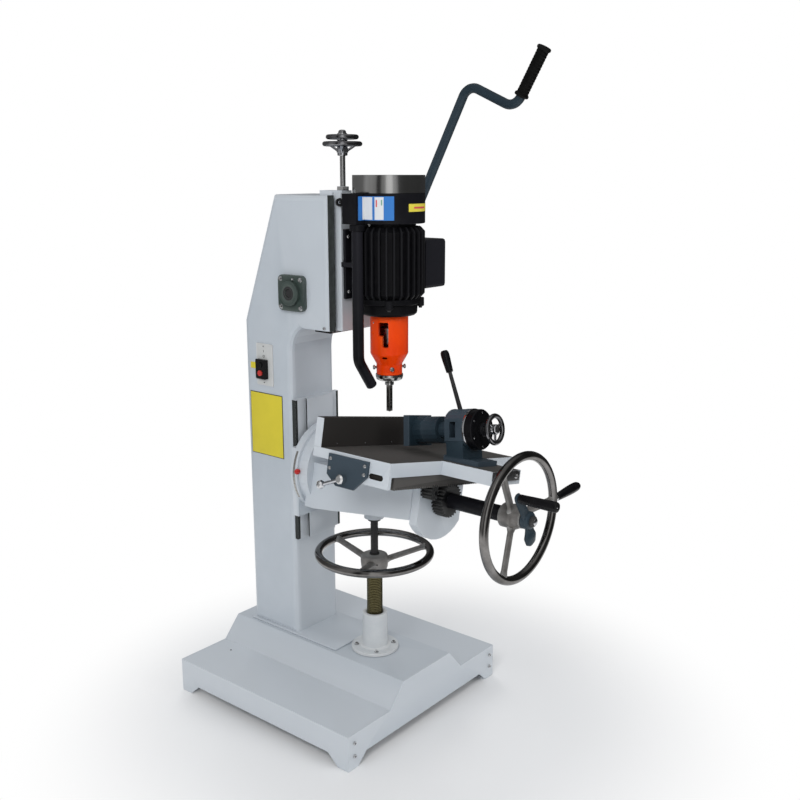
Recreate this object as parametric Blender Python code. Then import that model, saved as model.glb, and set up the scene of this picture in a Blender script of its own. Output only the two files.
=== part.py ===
"""Floor-standing hollow chisel mortiser: a column with a lever-fed head above a tilting cross table with a vise.

Lengths are metres. The machine frame has its origin on the floor at the middle of the base, with the front at -Y.
The tilt frame turns the arm, the table and their wheels about the knee's pivot, and the vise frame turns the
clamp inside it.
"""

import math

import bmesh
import bpy
from mathutils import Matrix, Vector

# General fits and tessellation
CLEARANCE = 0.0003  # between touching pieces and round running shafts
OVERRUN = 0.005  # how far a cutter passes the face it opens
ROUND = 24  # sides of a large round piece
SMALL_ROUND = 12  # sides of a small round piece
TINY_ROUND = 8

# Base: folded sheet between two end plates
BASE_WIDTH = 0.650
BASE_DEPTH = 0.658
BASE_SHEET = 0.004
WING_HEIGHT = 0.098
PLINTH_HEIGHT = 0.160
PLINTH_TOP_HALF = 0.103
PLINTH_FOOT_HALF = 0.158
FOOT_LENGTH = 0.037
FOOT_RISE = 0.030  # height of the skirt above the floor between the feet
FOOT_CHAMFER = 0.034
LUG_SIZE = 0.042  # floor lugs inside the four corners
LUG_THICKNESS = 0.006
LUG_HOLE_RADIUS = 0.006
CABLE_HOLE_HALF = 0.045  # opening from the base into the column

# Column
COLUMN_HALF = 0.087
COLUMN_FRONT = 0.085
COLUMN_BACK = 0.271
COLUMN_TOP = 1.430
COLUMN_TOP_BACK = 0.140
COLUMN_TAPER_START = 1.080
COLUMN_WALL = 0.012
COLUMN_CORNER = 0.016
COLUMN_HOLLOW_TOP = 1.020
HEAD_FRONT = -0.0655
HEAD_UNDERSIDE = 1.076
HEAD_FILLET_START = 0.029
HEAD_FILLET_FOOT = 1.004
FILLET_STEPS = 5

# Feed shaft, its gear and its bearings
FEED_AXIS_Y = 0.066
FEED_AXIS_Z = 1.170
FEED_MODULE = 0.003
FEED_TEETH = 40
FEED_GEAR_WIDTH = 0.022
FEED_SHAFT_RADIUS = 0.0125
FEED_SHAFT_LEFT = -0.107
FEED_POCKET_MARGIN = 0.005
FLANGE_SIZE = 0.097
FLANGE_CORNER = 0.014
FLANGE_THICKNESS = 0.012
FLANGE_BOSS_RADIUS = 0.033
FLANGE_BOSS_LENGTH = 0.010
RACK_WIDTH = 0.024
RACK_BELOW_AXIS = 0.018
RACK_LENGTH = 0.145
RACK_SLOT_MARGIN = 0.005

# Head way and slide, joined by a dovetail
HEAD_WAY_THICKNESS = 0.008
HEAD_TAIL_DEPTH = 0.014
HEAD_TAIL_NECK = 0.0335
HEAD_TAIL_FACE = 0.0415
SLIDE_HALF = 0.075
SLIDE_THICKNESS = 0.025
SLIDE_BOTTOM = 1.080
SLIDE_TOP = 1.436
SLIDE_EDGE = 0.002

# Depth stop
STOP_X = -0.050
STOP_Y = -0.085
STOP_ROD_RADIUS = 0.0079
STOP_ROD_TOP = 1.597
BRACKET_HALF = 0.019
BRACKET_BACK = -0.020
BRACKET_FRONT_MARGIN = 0.013
BRACKET_THICKNESS = 0.006
GUIDE_RADIUS = 0.0135
GUIDE_HEIGHT = 0.010
HEAD_STROKE = 0.075
STOP_MARGIN = 0.001
STOP_WHEEL_RADIUS = 0.051
STOP_WHEEL_HUB_RADIUS = 0.013
STOP_WHEEL_LENGTH = 0.040
STOP_WHEEL_CONE = 0.006
STOP_RIM_RADIUS = 0.0055
LOCK_WHEEL_RADIUS = 0.042
LOCK_WHEEL_LENGTH = 0.020
LOCK_RIM_DROP = 0.010
WEB_THICKNESS = 0.004

# Motor
MOTOR_AXIS_Y = -0.197
MOTOR_BOTTOM = 1.171
MOTOR_TOP = 1.353
MOTOR_RADIUS = 0.093
FIN_COUNT = 30
FIN_DEPTH = 0.009
FIN_WIDTH_SHARE = 0.34
FIN_TIP_SHARE = 0.22
MOTOR_CHAMFER = 0.012
MOTOR_END_SHARE = 0.88  # the finned body's end outline against its middle
MOTOR_NECK_RADIUS = 0.070
MOTOR_NECK_HEIGHT = 0.008
BELL_RADIUS = 0.075
BELL_FLANGE_RADIUS = 0.080
BELL_FLANGE_HEIGHT = 0.012
BELL_BOTTOM = 1.1263
MOTOR_BRACKET_HALF = 0.068
MOTOR_BRACKET_BOTTOM = 1.165
MOTOR_BRACKET_TOP = 1.345
MOTOR_BRACKET_PLATE = 0.008
MOTOR_WEB_HALF = 0.076
MOTOR_WEB_FRONT = -0.150
MOTOR_WEB_THICKNESS = 0.012
TERMINAL_WIDTH = 0.120
TERMINAL_BOTTOM = 1.189
TERMINAL_TOP = 1.316
TERMINAL_LID_X = 0.149
TERMINAL_LID_THICKNESS = 0.013
TERMINAL_WALL = 0.004
TERMINAL_CORNER = 0.008
TERMINAL_REACH = 0.084

# Blower on top of the motor
BLOWER_BOTTOM = 1.3613
BLOWER_TOP = 1.436
BLOWER_RADIUS = 0.093
BLOWER_WALL = 0.005
CAP_TOP = 1.481
CAP_WALL = 0.003
INLET_RADIUS = 0.035
OUTLET_LEFT = -0.135
OUTLET_HALF = 0.034
OUTLET_SHARE = 0.62  # the outlet block's inner end against the blower's radius
IMPELLER_RADIUS = 0.072
IMPELLER_HUB_RADIUS = 0.020
IMPELLER_DISC = 0.004
IMPELLER_HEIGHT = 0.042
IMPELLER_LIFT = 0.006
BLADE_COUNT = 8
BLADE_THICKNESS = 0.003

# Air pipe
PIPE_X = -0.110
PIPE_Y = -0.178
PIPE_RADIUS = 0.0145
PIPE_BORE = 0.0125
PIPE_BEND_HEIGHT = 1.003
PIPE_END_X = -0.047
PIPE_END_Z = 0.952
PIPE_BEND_RADIUS = 0.040

# Spindle, auger and chisel
SPINDLE_RADIUS = 0.0105
SPINDLE_TOP_DROP = 0.016
CHUCK_TOP = 1.092
CHUCK_RADIUS = 0.022
CHUCK_SHOULDER = 1.040
CHUCK_NOSE_RADIUS = 0.0105
CHUCK_BOTTOM = 1.018
AUGER_RADIUS = 0.005
AUGER_GRIP = 0.030
AUGER_POINT = 0.004
HOUSING_RADIUS = 0.050
HOUSING_TAPER_TOP = 1.024
HOUSING_TAPER_BOTTOM = 0.996
HOUSING_NECK_RADIUS = 0.034
HOUSING_BOTTOM = 0.968
HOUSING_BORE = 0.038
HOUSING_BORE_FLOOR = 1.008
WINDOW_WIDTH = 0.028
WINDOW_BOTTOM = 1.032
WINDOW_TOP = 1.105
WINDOW_TURN = math.radians(203)  # direction the chip window faces, from +X
COLLAR_RADIUS = 0.0365
COLLAR_HEIGHT = 0.016
BUSH_RADIUS = 0.012
BUSH_BOTTOM = 0.936
CHISEL_SIDE = 0.0134
CHISEL_TIP = 0.866
CHISEL_TIP_HEIGHT = 0.007
SHANK_RADIUS = 0.0085
SHANK_LENGTH = 0.045
CHIP_SLOT_WIDTH = 0.005
CHIP_SLOT_BOTTOM = 0.886
CHIP_SLOT_TOP = 0.922

# Feed lever
LEVER_X = 0.255
LEVER_TUBE_RADIUS = 0.0125
LEVER_OFFSET = 0.0363  # distance of the straight tube from the feed shaft
LEVER_TAIL = 0.034
LEVER_RISE = 0.632
LEVER_LEAN = math.radians(117.5)
LEVER_MIDDLE_LENGTH = 0.163
LEVER_MIDDLE_TURN = math.radians(204.4)
LEVER_END_LENGTH = 0.160
LEVER_END_TURN = math.radians(120)
LEVER_BEND_RADIUS = 0.036
LEVER_HUB_RADIUS = 0.029
LEVER_HUB_WIDTH = 0.036
LEVER_CLAMP_RADIUS = 0.020
GRIP_LENGTH = 0.132
GRIP_RADIUS = 0.0155
GRIP_END_RADIUS = 0.019
GRIP_END_LENGTH = 0.006

# Switch
SWITCH_BACK = 0.220
SWITCH_FRONT = 0.155
SWITCH_BOTTOM = 0.898
SWITCH_TOP = 1.018
SWITCH_PLATE = 0.003
BEZEL_FRONT = 0.174
BEZEL_BACK = 0.216
BEZEL_BOTTOM = 0.917
BEZEL_TOP = 0.973
BEZEL_DEPTH = 0.009
BUTTON_Y = 0.1965
START_Z = 0.957
STOP_Z = 0.934
BUTTON_RADIUS = 0.008
BUTTON_STAND = 0.005
BUTTON_TRAVEL = 0.003
BUTTON_DEPTH = 0.008

# Knee way, lift screw and knee
PIVOT_HEIGHT = 0.670
KNEE_WAY_DROP = 0.210  # drops and rises here are measured from the pivot
KNEE_WAY_RISE = 0.200
KNEE_WAY_BOTTOM = PIVOT_HEIGHT - KNEE_WAY_DROP
KNEE_WAY_TOP = PIVOT_HEIGHT + KNEE_WAY_RISE
KNEE_WAY_THICKNESS = 0.0127
KNEE_TAIL_DEPTH = 0.012
KNEE_TAIL_NECK = 0.045
KNEE_TAIL_FACE = 0.053
SADDLE_HALF = 0.105
SADDLE_DROP = 0.130
SADDLE_RISE = 0.070
SADDLE_BOTTOM = PIVOT_HEIGHT - SADDLE_DROP
SADDLE_TOP = PIVOT_HEIGHT + SADDLE_RISE
SADDLE_FRONT = 0.050
SADDLE_DISC_RADIUS = 0.130
SADDLE_DISC_FRONT = 0.030
TILT = math.radians(11.1)
PIVOT_PIN_RADIUS = 0.015
PIVOT_PIN_END = -0.012
NOSE_HALF = 0.030
NOSE_DROP = 0.095
NOSE_HEIGHT = 0.045
NOSE_BOTTOM = PIVOT_HEIGHT - NOSE_DROP
NOSE_TOP = NOSE_BOTTOM + NOSE_HEIGHT
NOSE_FRONT = -0.152
NOSE_BOSS_RADIUS = 0.028
NOSE_BOSS_HEIGHT = 0.0225
NOSE_BOSS_BOTTOM = NOSE_BOTTOM - NOSE_BOSS_HEIGHT
LIFT_AXIS_Y = -0.140
PEDESTAL_FLANGE_RADIUS = 0.067
PEDESTAL_FLANGE_HEIGHT = 0.010
PEDESTAL_RADIUS = 0.035
PEDESTAL_TOP = 0.271
PEDESTAL_LIP = 0.004
LIFT_SCREW_RADIUS = 0.0225
LIFT_SCREW_BOTTOM = 0.178
LIFT_SCREW_DROP = 0.2723
LIFT_SCREW_TOP = PIVOT_HEIGHT - LIFT_SCREW_DROP
LIFT_JOURNAL_RADIUS = 0.014
LIFT_STEM_RADIUS = 0.0105
LIFT_STEM_DROP = 0.070
LIFT_STEM_TOP = PIVOT_HEIGHT - LIFT_STEM_DROP
LIFT_COLLAR_RADIUS = 0.018
LIFT_COLLAR_HEIGHT = 0.008
LIFT_HUB_RADIUS = 0.039
LIFT_HUB_HEIGHT = 0.0543
LIFT_HUB_TOP = LIFT_SCREW_TOP + LIFT_HUB_HEIGHT
LIFT_WHEEL_RADIUS = 0.168
LIFT_RIM_RADIUS = 0.009
LIFT_RIM_DROP = 0.219
LIFT_RIM_HEIGHT = PIVOT_HEIGHT - LIFT_RIM_DROP
SPOKE_RADIUS = 0.0065
LIFT_SPOKE_TURN = math.radians(86)
SPOKE_COUNT = 3
SPOKE_SINK = 0.004  # how far a spoke runs into the rim and hub

# Arm, in the tilt frame from here on: X along the table, Y along the arm, Z square to the table
ARM_HALF = 0.097
ARM_REAR = 0.0157
ARM_FRONT = -0.350
ARM_TOP = 0.018
ARM_REAR_BOTTOM = -0.108
ARM_FRONT_BOTTOM = -0.068
ARM_WALL = 0.014
ARM_DECK = 0.016
ARM_REAR_WALL = 0.036
ARM_DISC_RADIUS = 0.122
WINDOW_HALF = 0.062
WINDOW_ROOF = -0.036
ARM_TAIL_NECK = 0.045
ARM_TAIL_FACE = 0.053
ARM_TAIL_DEPTH = 0.012
ARM_TAIL_REAR = -0.030
ARM_TAIL_FRONT = -0.345
END_PLATE_HALF = 0.094
END_PLATE_THICKNESS = 0.0237
END_PLATE_RADIUS = 0.122
END_PLATE_ARC_STEPS = 10
SHAFT_HEIGHT = -0.012
IDLER_X = -0.077
IDLER_PIN_RADIUS = 0.006

# Table drive
TABLE_MODULE = 0.003
TABLE_GEAR_TEETH = 28
IDLER_TEETH = 11
GEAR_REAR_GAP = 0.0007
GEAR_WIDTH = 0.0323
SLEEVE_RADIUS = 0.0195
SLEEVE_REAR = -0.3515
SLEEVE_FRONT = -0.6275
CRANK_SHAFT_RADIUS = 0.009
CROSS_SCREW_REAR = -0.060
TABLE_WHEEL_Y = -0.616
TABLE_WHEEL_RADIUS = 0.168
TABLE_RIM_RADIUS = 0.0095
TABLE_WHEEL_HUB_RADIUS = 0.028
TABLE_WHEEL_HUB_LENGTH = 0.030
TABLE_SPOKE_TURN = math.radians(13.7)
WHEEL_GRIP_RADIUS = 0.013
WHEEL_GRIP_START_RADIUS = 0.176
WHEEL_GRIP_LENGTH = 0.112
GRIP_PIN_RADIUS = 0.005
GRIP_CAP = 0.006
CRANK_HUB_RADIUS = 0.021
CRANK_HUB_LENGTH = 0.0215
CRANK_ARM_THICKNESS = 0.012
CRANK_ARM_SETBACK = 0.004
CRANK_REACH_LENGTH = 0.084
CRANK_TURN = math.radians(136)
CRANK_END_RADIUS = 0.013
CRANK_TAIL_LENGTH = 0.058
CRANK_TAIL_RADIUS = 0.011
CRANK_NUT_RADIUS = 0.014
CRANK_NUT_LENGTH = 0.013
CRANK_GRIP_END = -0.748
CRANK_GRIP_RADIUS = 0.013

# Cross slide
CROSS_HALF = 0.130
CROSS_REAR = -0.160
CROSS_FRONT = -0.372
NUT_HALF = 0.020
NUT_REAR = -0.240
NUT_FRONT = -0.270
NUT_BOTTOM = -0.032
NUT_SLOT_MARGIN = 0.0025
CROSS_TRAVEL = 0.012
CROSS_TRAVEL_MARGIN = 0.006

# Table, fence and rack
TABLE_HALF = 0.2735
TABLE_REAR = -0.158
TABLE_FRONT = -0.410
TABLE_TOP = 0.0955
TABLE_PLATE = 0.025
TABLE_BAND = 0.035
TABLE_BAND_REAR = -0.362
TONGUE_HALF = 0.065
TONGUE_FRONT = -0.562
TABLE_EDGE = 0.0015
TABLE_FLANGE = 0.010
TABLE_FLANGE_REAR = -0.213
TABLE_FLANGE_BOTTOM = 0.031
FLANGE_SLOT_REAR = -0.348
FLANGE_SLOT_FRONT = -0.392
FLANGE_SLOT_Z = 0.055
FLANGE_SLOT_RADIUS = 0.007
RAIL_Y = -0.265
RAIL_NECK = 0.018
RAIL_FACE = 0.024
RAIL_DEPTH = 0.012
FENCE_THICKNESS = 0.024
FENCE_TOP = 0.171
RACK_BAR_HALF = 0.247
RACK_BAR_REAR = -0.385
RACK_BAR_WIDTH = 0.020
LOCK_PLATE_THICKNESS = 0.008
LOCK_PLATE_REAR = -0.217
LOCK_PLATE_FRONT = -0.347
LOCK_PLATE_TOP = 0.088
LOCK_PLATE_SHOULDER = 0.050
LOCK_PLATE_BOTTOM = 0.011
LOCK_PLATE_BOTTOM_FRONT = -0.308
LOCK_PLATE_BOTTOM_REAR = -0.250
LOCK_PLATE_REAR_HEIGHT = 0.036
LOCK_AXIS_Y = -0.276
LOCK_AXIS_Z = 0.033
LOCK_HUB_RADIUS = 0.012
LOCK_HUB_LENGTH = 0.020
LOCK_ARM_RADIUS = 0.005
LOCK_BALL_RADIUS = 0.0115
LOCK_ARM_LENGTH = 0.068
LOCK_ARM_TURN = math.radians(-22)

# Vise, in the vise frame: Y along its screw toward the fence, Z square to it
VISE_Y = -0.400
VISE_Z = 0.1736
VISE_LEAN = math.radians(9.43)
BARREL_RADIUS = 0.0535
BARREL_HALF = 0.045
BARREL_REAR = 0.0115
BARREL_FRONT = -0.0475
FOOT_REAR = -0.396
FOOT_FRONT = -0.502
FOOT_HEIGHT = 0.013
PEDESTAL_NECK_REAR = -0.404
PEDESTAL_NECK_FRONT = -0.456
RAM_RADIUS = 0.022
RAM_FRONT = -0.014
RAM_BOSS_RADIUS = 0.0375
RAM_BOSS_FRONT = 0.048
JAW_BACK = 0.122
JAW_FACE = 0.140
JAW_HALF = 0.050
JAW_BOTTOM = -0.042
JAW_TOP = 0.039
JAW_COLLAR_RADIUS = 0.041
JAW_COLLAR_FRONT = 0.098
RAM_BORE_END = 0.050
SIDE_WINDOW_REAR = -0.004
SIDE_WINDOW_FRONT = -0.022
SIDE_WINDOW_HALF = 0.020
COVER_RADIUS = 0.052
COVER_RING_LENGTH = 0.006
COVER_RING_RADIUS = 0.0535
COVER_LENGTH = 0.021
COVER_BOSS_RADIUS = 0.018
COVER_BOSS_LENGTH = 0.006
VISE_SCREW_RADIUS = 0.009
VISE_SCREW_REAR = 0.010
VISE_WHEEL_Y = -0.1125
VISE_WHEEL_RADIUS = 0.0405
VISE_RIM_RADIUS = 0.005
VISE_HUB_RADIUS = 0.013
VISE_HUB_LENGTH = 0.018
VISE_SPOKE_RADIUS = 0.004
VISE_SPOKE_TURN = math.radians(30)
QUICK_Y = -0.013
QUICK_Z = 0.0335
QUICK_ROOT_RADIUS = 0.0085
QUICK_ROOT_HALF = 0.006
QUICK_SLOT_REAR = 0.006
QUICK_SLOT_FRONT = -0.030
QUICK_LEAN = math.radians(18.1)
QUICK_ROD_RADIUS = 0.0055
QUICK_ROD_LENGTH = 0.122
QUICK_GRIP_RADIUS = 0.0115
QUICK_GRIP_LENGTH = 0.060
QUICK_GRIP_SHARE = 0.80  # the grip's lower end against its upper end

PRESSURE_ANGLE = math.radians(20)
TOOTH_TIP_SHARE = 0.90  # addendum against the module
TOOTH_ROOT_SHARE = 1.25  # dedendum against the module
TOOTH_WIDTH_SHARE = 0.80  # tooth width against half the pitch, which leaves backlash

PAINT_GREEN = ("green_grey_paint", (0.045, 0.070, 0.062), 0.45, 0.0)
PAINT_BLACK = ("black_paint", (0.012, 0.012, 0.013), 0.40, 0.0)
PAINT_BLUE = ("blue_grey_paint", (0.035, 0.065, 0.095), 0.40, 0.0)
PAINT_ORANGE = ("orange_paint", (0.85, 0.13, 0.01), 0.35, 0.0)
PAINT_GREY = ("light_grey_paint", (0.51, 0.56, 0.61), 0.40, 0.0)
STEEL = ("brushed_steel", (0.55, 0.55, 0.54), 0.35, 1.0)
CHROME = ("chrome", (0.80, 0.80, 0.82), 0.12, 1.0)
IRON = ("machined_iron", (0.30, 0.29, 0.27), 0.50, 0.9)
BRASS = ("brass", (0.55, 0.42, 0.20), 0.35, 1.0)
RUBBER = ("black_rubber", (0.012, 0.012, 0.012), 0.75, 0.0)
PLASTIC_WHITE = ("white_plastic", (0.72, 0.72, 0.68), 0.45, 0.0)
PLASTIC_BLACK = ("black_plastic", (0.015, 0.015, 0.016), 0.40, 0.0)
PLASTIC_RED = ("red_plastic", (0.62, 0.02, 0.02), 0.35, 0.0)


def clear_scene():
    for item in list(bpy.data.objects):
        bpy.data.objects.remove(item, do_unlink=True)


def frame(name, parent=None, at=(0, 0, 0), turn=(0, 0, 0)):
    """An empty that carries pieces."""
    item = bpy.data.objects.new(name, None)
    bpy.context.collection.objects.link(item)
    item.parent = parent
    item.location = at
    item.rotation_euler = turn
    return item


def material(spec):
    name, colour, roughness, metallic = spec
    made = bpy.data.materials.get(name)
    if made:
        return made
    made = bpy.data.materials.new(name)
    made.use_nodes = True
    shader = made.node_tree.nodes["Principled BSDF"]
    shader.inputs["Base Color"].default_value = (*colour, 1)
    shader.inputs["Roughness"].default_value = roughness
    shader.inputs["Metallic"].default_value = metallic
    made.diffuse_color = (*colour, 1)
    return made


def solid(bm):
    """A plain object from a bmesh, its faces turned outward."""
    bmesh.ops.recalc_face_normals(bm, faces=bm.faces)
    mesh = bpy.data.meshes.new("shape")
    bm.to_mesh(mesh)
    bm.free()
    item = bpy.data.objects.new("shape", mesh)
    bpy.context.collection.objects.link(item)
    return item


def loft(sections):
    """Closed outlines with the same count of points, joined one to the next and capped."""
    bm = bmesh.new()
    rings = [[bm.verts.new(point) for point in section] for section in sections]
    for low, high in zip(rings, rings[1:]):
        for i, corner in enumerate(low):
            j = (i + 1) % len(low)
            bm.faces.new((corner, low[j], high[j], high[i]))
    bm.faces.new(rings[0])
    bm.faces.new(rings[-1])
    return solid(bm)


def along(axis, first, second, depth):
    """A point from the two outline coordinates and the one along the axis."""
    if axis == "X":
        return (depth, first, second)
    if axis == "Y":
        return (first, depth, second)
    return (first, second, depth)


def prism(axis, outline, start, end):
    return loft([[along(axis, a, b, depth) for a, b in outline] for depth in (start, end)])


def block(x, y, z):
    (x0, x1), (y0, y1) = x, y
    return prism("Z", [(x0, y0), (x1, y0), (x1, y1), (x0, y1)], *z)


def circle(radius, sides, centre=(0, 0), start=0.0):
    return [
        (
            centre[0] + radius * math.cos(start + math.tau * i / sides),
            centre[1] + radius * math.sin(start + math.tau * i / sides),
        )
        for i in range(sides)
    ]


def rod(axis, centre, radius, start, end, sides=ROUND):
    return prism(axis, circle(radius, sides, centre), start, end)


def bore_for(radius):
    """The radius of a faceted bore whose flats clear a round bar of this radius."""
    return (radius + CLEARANCE) / math.cos(math.pi / SMALL_ROUND)


def turned(axis, centre, profile, sides=ROUND):
    """A closed profile of (radius, depth) points turned about an axis line through the centre."""
    bm = bmesh.new()
    rings = []
    for radius, depth in profile:
        if radius == 0:
            rings.append([bm.verts.new(along(axis, *centre, depth))])
        else:
            rings.append(
                [bm.verts.new(along(axis, *point, depth)) for point in circle(radius, sides, centre)]
            )
    for low, high in zip(rings, rings[1:] + rings[:1]):
        for i in range(sides):
            j = (i + 1) % sides
            corners = [low[i % len(low)], low[j % len(low)], high[j % len(high)], high[i % len(high)]]
            unique = list(dict.fromkeys(corners))
            if len(unique) > 2:
                bm.faces.new(unique)
    return solid(bm)


def tube(points, radius, sides=SMALL_ROUND):
    """A round bar along a path, with mitred joints and flat ends square to it."""
    points = [Vector(point) for point in points]
    runs = [(b - a).normalized() for a, b in zip(points, points[1:])]
    first = runs[0]
    side = first.orthogonal().normalized()
    sections = []
    for i, point in enumerate(points):
        before = runs[max(i - 1, 0)]
        after = runs[min(i, len(runs) - 1)]
        cut = (before + after).normalized()
        side = (side - before * side.dot(before)).normalized()
        up = before.cross(side)
        section = []
        for a, b in circle(radius, sides):
            spot = side * a + up * b
            spot -= before * (spot.dot(cut) / before.dot(cut))
            section.append(point + spot)
        sections.append(section)
    return loft(sections)


def bent(corners, bend_radius, steps=5):
    """A path with each inner corner replaced by an arc."""
    corners = [Vector(corner) for corner in corners]
    path = [corners[0]]
    for before, corner, after in zip(corners, corners[1:], corners[2:]):
        incoming = (corner - before).normalized()
        outgoing = (after - corner).normalized()
        half = incoming.angle(outgoing) / 2
        reach = bend_radius * math.tan(half)
        start = corner - incoming * reach
        centre = start + (outgoing - incoming * outgoing.dot(incoming)).normalized() * bend_radius
        axis = incoming.cross(outgoing).normalized()
        for i in range(steps + 1):
            turn = Matrix.Rotation(2 * half * i / steps, 3, axis)
            path.append(centre + turn @ (start - centre))
    path.append(corners[-1])
    return path


def ball(centre, radius, sides=SMALL_ROUND):
    """A sphere whose poles lie along X."""
    steps = sides // 2
    profile = [
        (radius * math.sin(math.pi * i / steps) if 0 < i < steps else 0, centre[0] - radius * math.cos(math.pi * i / steps))
        for i in range(steps + 1)
    ]
    return turned("X", centre[1:], profile, sides)


def combine(body, tool, operation):
    """Applies a Boolean and drops the tool."""
    tool.hide_render = True
    tool.display_type = "WIRE"
    modifier = body.modifiers.new(operation.lower(), "BOOLEAN")
    modifier.solver = "EXACT"
    modifier.operation = operation
    modifier.object = tool
    bpy.context.view_layer.update()
    graph = bpy.context.evaluated_depsgraph_get()
    mesh = bpy.data.meshes.new_from_object(body.evaluated_get(graph))
    body.modifiers.remove(modifier)
    body.data = mesh
    bpy.data.objects.remove(tool, do_unlink=True)
    return body


def join(body, *tools):
    for tool in tools:
        combine(body, tool, "UNION")
    return body


def cut(body, *tools):
    for tool in tools:
        combine(body, tool, "DIFFERENCE")
    return body


def turn_shape(item, angle, axis, centre=(0, 0, 0)):
    """Turns a shape's mesh about a line through the centre."""
    centre = Vector(centre)
    item.data.transform(Matrix.Translation(centre) @ Matrix.Rotation(angle, 4, axis) @ Matrix.Translation(-centre))
    return item


def soften(item, size, chosen, segments=3):
    """Rounds the edges that the chooser picks by their middle and direction."""
    bm = bmesh.new()
    bm.from_mesh(item.data)
    edges = []
    for edge in bm.edges:
        a, b = (vert.co for vert in edge.verts)
        if chosen((a + b) / 2, (b - a).normalized()):
            edges.append(edge)
    bmesh.ops.bevel(bm, geom=edges, offset=size, segments=segments, profile=0.5, affect="EDGES")
    bm.to_mesh(item.data)
    bm.free()
    return item


def node(name, spec, item, parent, pivot=(0, 0, 0)):
    """Names a finished solid, gives it its material and puts its origin at the pivot."""
    item.data.transform(Matrix.Translation(-Vector(pivot)))
    item.name = name
    item.data.name = name
    item.data.materials.clear()
    item.data.materials.append(material(spec))
    item.data.shade_smooth()
    item.data.set_sharp_from_angle(angle=math.radians(32))
    item.parent = parent
    item.location = pivot
    return item


def mirrored(points):
    """An outline from its right half, given top to bottom or bottom to top."""
    return points + [(-a, b) for a, b in reversed(points)]


def dovetail(neck, face, root, tip):
    """The outline of a dovetail that widens from its root to its tip."""
    return [(-neck, root), (neck, root), (face, tip), (-face, tip)]


def involute(angle):
    return math.tan(angle) - angle


def gear(axis, centre, module, teeth, start, end, phase):
    """A spur gear with involute flanks. The phase is the angle of one tooth's middle."""
    pitch_radius = module * teeth / 2
    base_radius = pitch_radius * math.cos(PRESSURE_ANGLE)
    tip_radius = pitch_radius + module * TOOTH_TIP_SHARE
    root_radius = pitch_radius - module * TOOTH_ROOT_SHARE
    half_width = math.pi / teeth / 2 * TOOTH_WIDTH_SHARE + involute(PRESSURE_ANGLE)
    flank_start = max(base_radius, root_radius)
    radii = [flank_start, pitch_radius, tip_radius] if teeth < ROUND // 2 else [flank_start, tip_radius]
    flank = [(radius, half_width - involute(math.acos(base_radius / radius))) for radius in radii]
    if flank_start > root_radius:
        flank.insert(0, (root_radius, flank[0][1]))
    outline = []
    for i in range(teeth):
        middle = phase + math.tau * i / teeth
        for radius, half in flank:
            outline.append(polar(centre, radius, middle - half))
        for radius, half in reversed(flank):
            outline.append(polar(centre, radius, middle + half))
    return prism(axis, outline, start, end)


def polar(centre, radius, angle):
    return (centre[0] + radius * math.cos(angle), centre[1] + radius * math.sin(angle))


def rack_teeth(module, first, last, origin, line, side):
    """Rack points from first to last along the bar, with a gap's middle at the origin.

    The line is the pitch line's height and the side is +1 or -1 for teeth that point up or down.
    """
    pitch = math.pi * module
    tip = line + side * module * TOOTH_TIP_SHARE
    root = line - side * module * TOOTH_ROOT_SHARE
    half = pitch / 4 * TOOTH_WIDTH_SHARE
    tip_half = half - module * TOOTH_TIP_SHARE * math.tan(PRESSURE_ANGLE)
    root_half = half + module * TOOTH_ROOT_SHARE * math.tan(PRESSURE_ANGLE)
    points = []
    index = math.ceil((first + root_half - origin) / pitch - 1 / 2)
    while True:
        middle = origin + (index + 1 / 2) * pitch
        if middle + root_half > last:
            return points
        if middle - root_half > first:
            points += [
                (middle - root_half, root),
                (middle - tip_half, tip),
                (middle + tip_half, tip),
                (middle + root_half, root),
            ]
        index += 1


def rim(axis, centre, depth, radius, thickness, sides=ROUND, ring_sides=6):
    """A round ring whose outer radius is given."""
    profile = circle(thickness, ring_sides, (radius - thickness, depth))
    return turned(axis, centre, profile, sides)


def spokes(axis, centre, start, end, start_depth, end_depth, radius, first_turn):
    """Round spokes between two radii."""
    made = []
    for i in range(SPOKE_COUNT):
        angle = first_turn + math.tau * i / SPOKE_COUNT
        inner = along(axis, *polar(centre, start, angle), start_depth)
        outer = along(axis, *polar(centre, end, angle), end_depth)
        made.append(tube([inner, outer], radius, 8))
    return made


def grip(length, bore, radius, end_radius, end_length, sides=SMALL_ROUND):
    """A sleeve along +Z with a closed far end and a fuller bead at each end."""
    return turned(
        "Z",
        (0, 0),
        [
            (bore, 0),
            (end_radius, 0),
            (end_radius, end_length),
            (radius, end_length * 3 / 2),
            (radius, length - end_length * 3 / 2),
            (end_radius, length - end_length),
            (end_radius, length - end_length / 2),
            (radius, length),
            (0, length),
            (0, length - end_length),
            (bore, length - end_length),
        ],
        sides,
    )


def point_along(item, start, direction):
    """Moves a shape built along +Z so that it starts at a point and runs along a direction."""
    turn = Vector((0, 0, 1)).rotation_difference(Vector(direction)).to_matrix().to_4x4()
    item.data.transform(Matrix.Translation(Vector(start)) @ turn)
    return item


# The base

def foot_cut(half, length):
    """The outline that lifts a skirt off the floor between two feet."""
    inner = half - length
    return [
        (-inner, -OVERRUN),
        (inner, -OVERRUN),
        (inner, 0),
        (inner - FOOT_CHAMFER, FOOT_RISE),
        (-inner + FOOT_CHAMFER, FOOT_RISE),
        (-inner, 0),
    ]


def base_outline(inset, floor):
    return mirrored(
        [
            (BASE_WIDTH / 2 - inset, floor),
            (BASE_WIDTH / 2 - inset, WING_HEIGHT - inset),
            (PLINTH_FOOT_HALF - inset, WING_HEIGHT - inset),
            (PLINTH_TOP_HALF - inset, PLINTH_HEIGHT - inset),
        ]
    )


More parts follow.
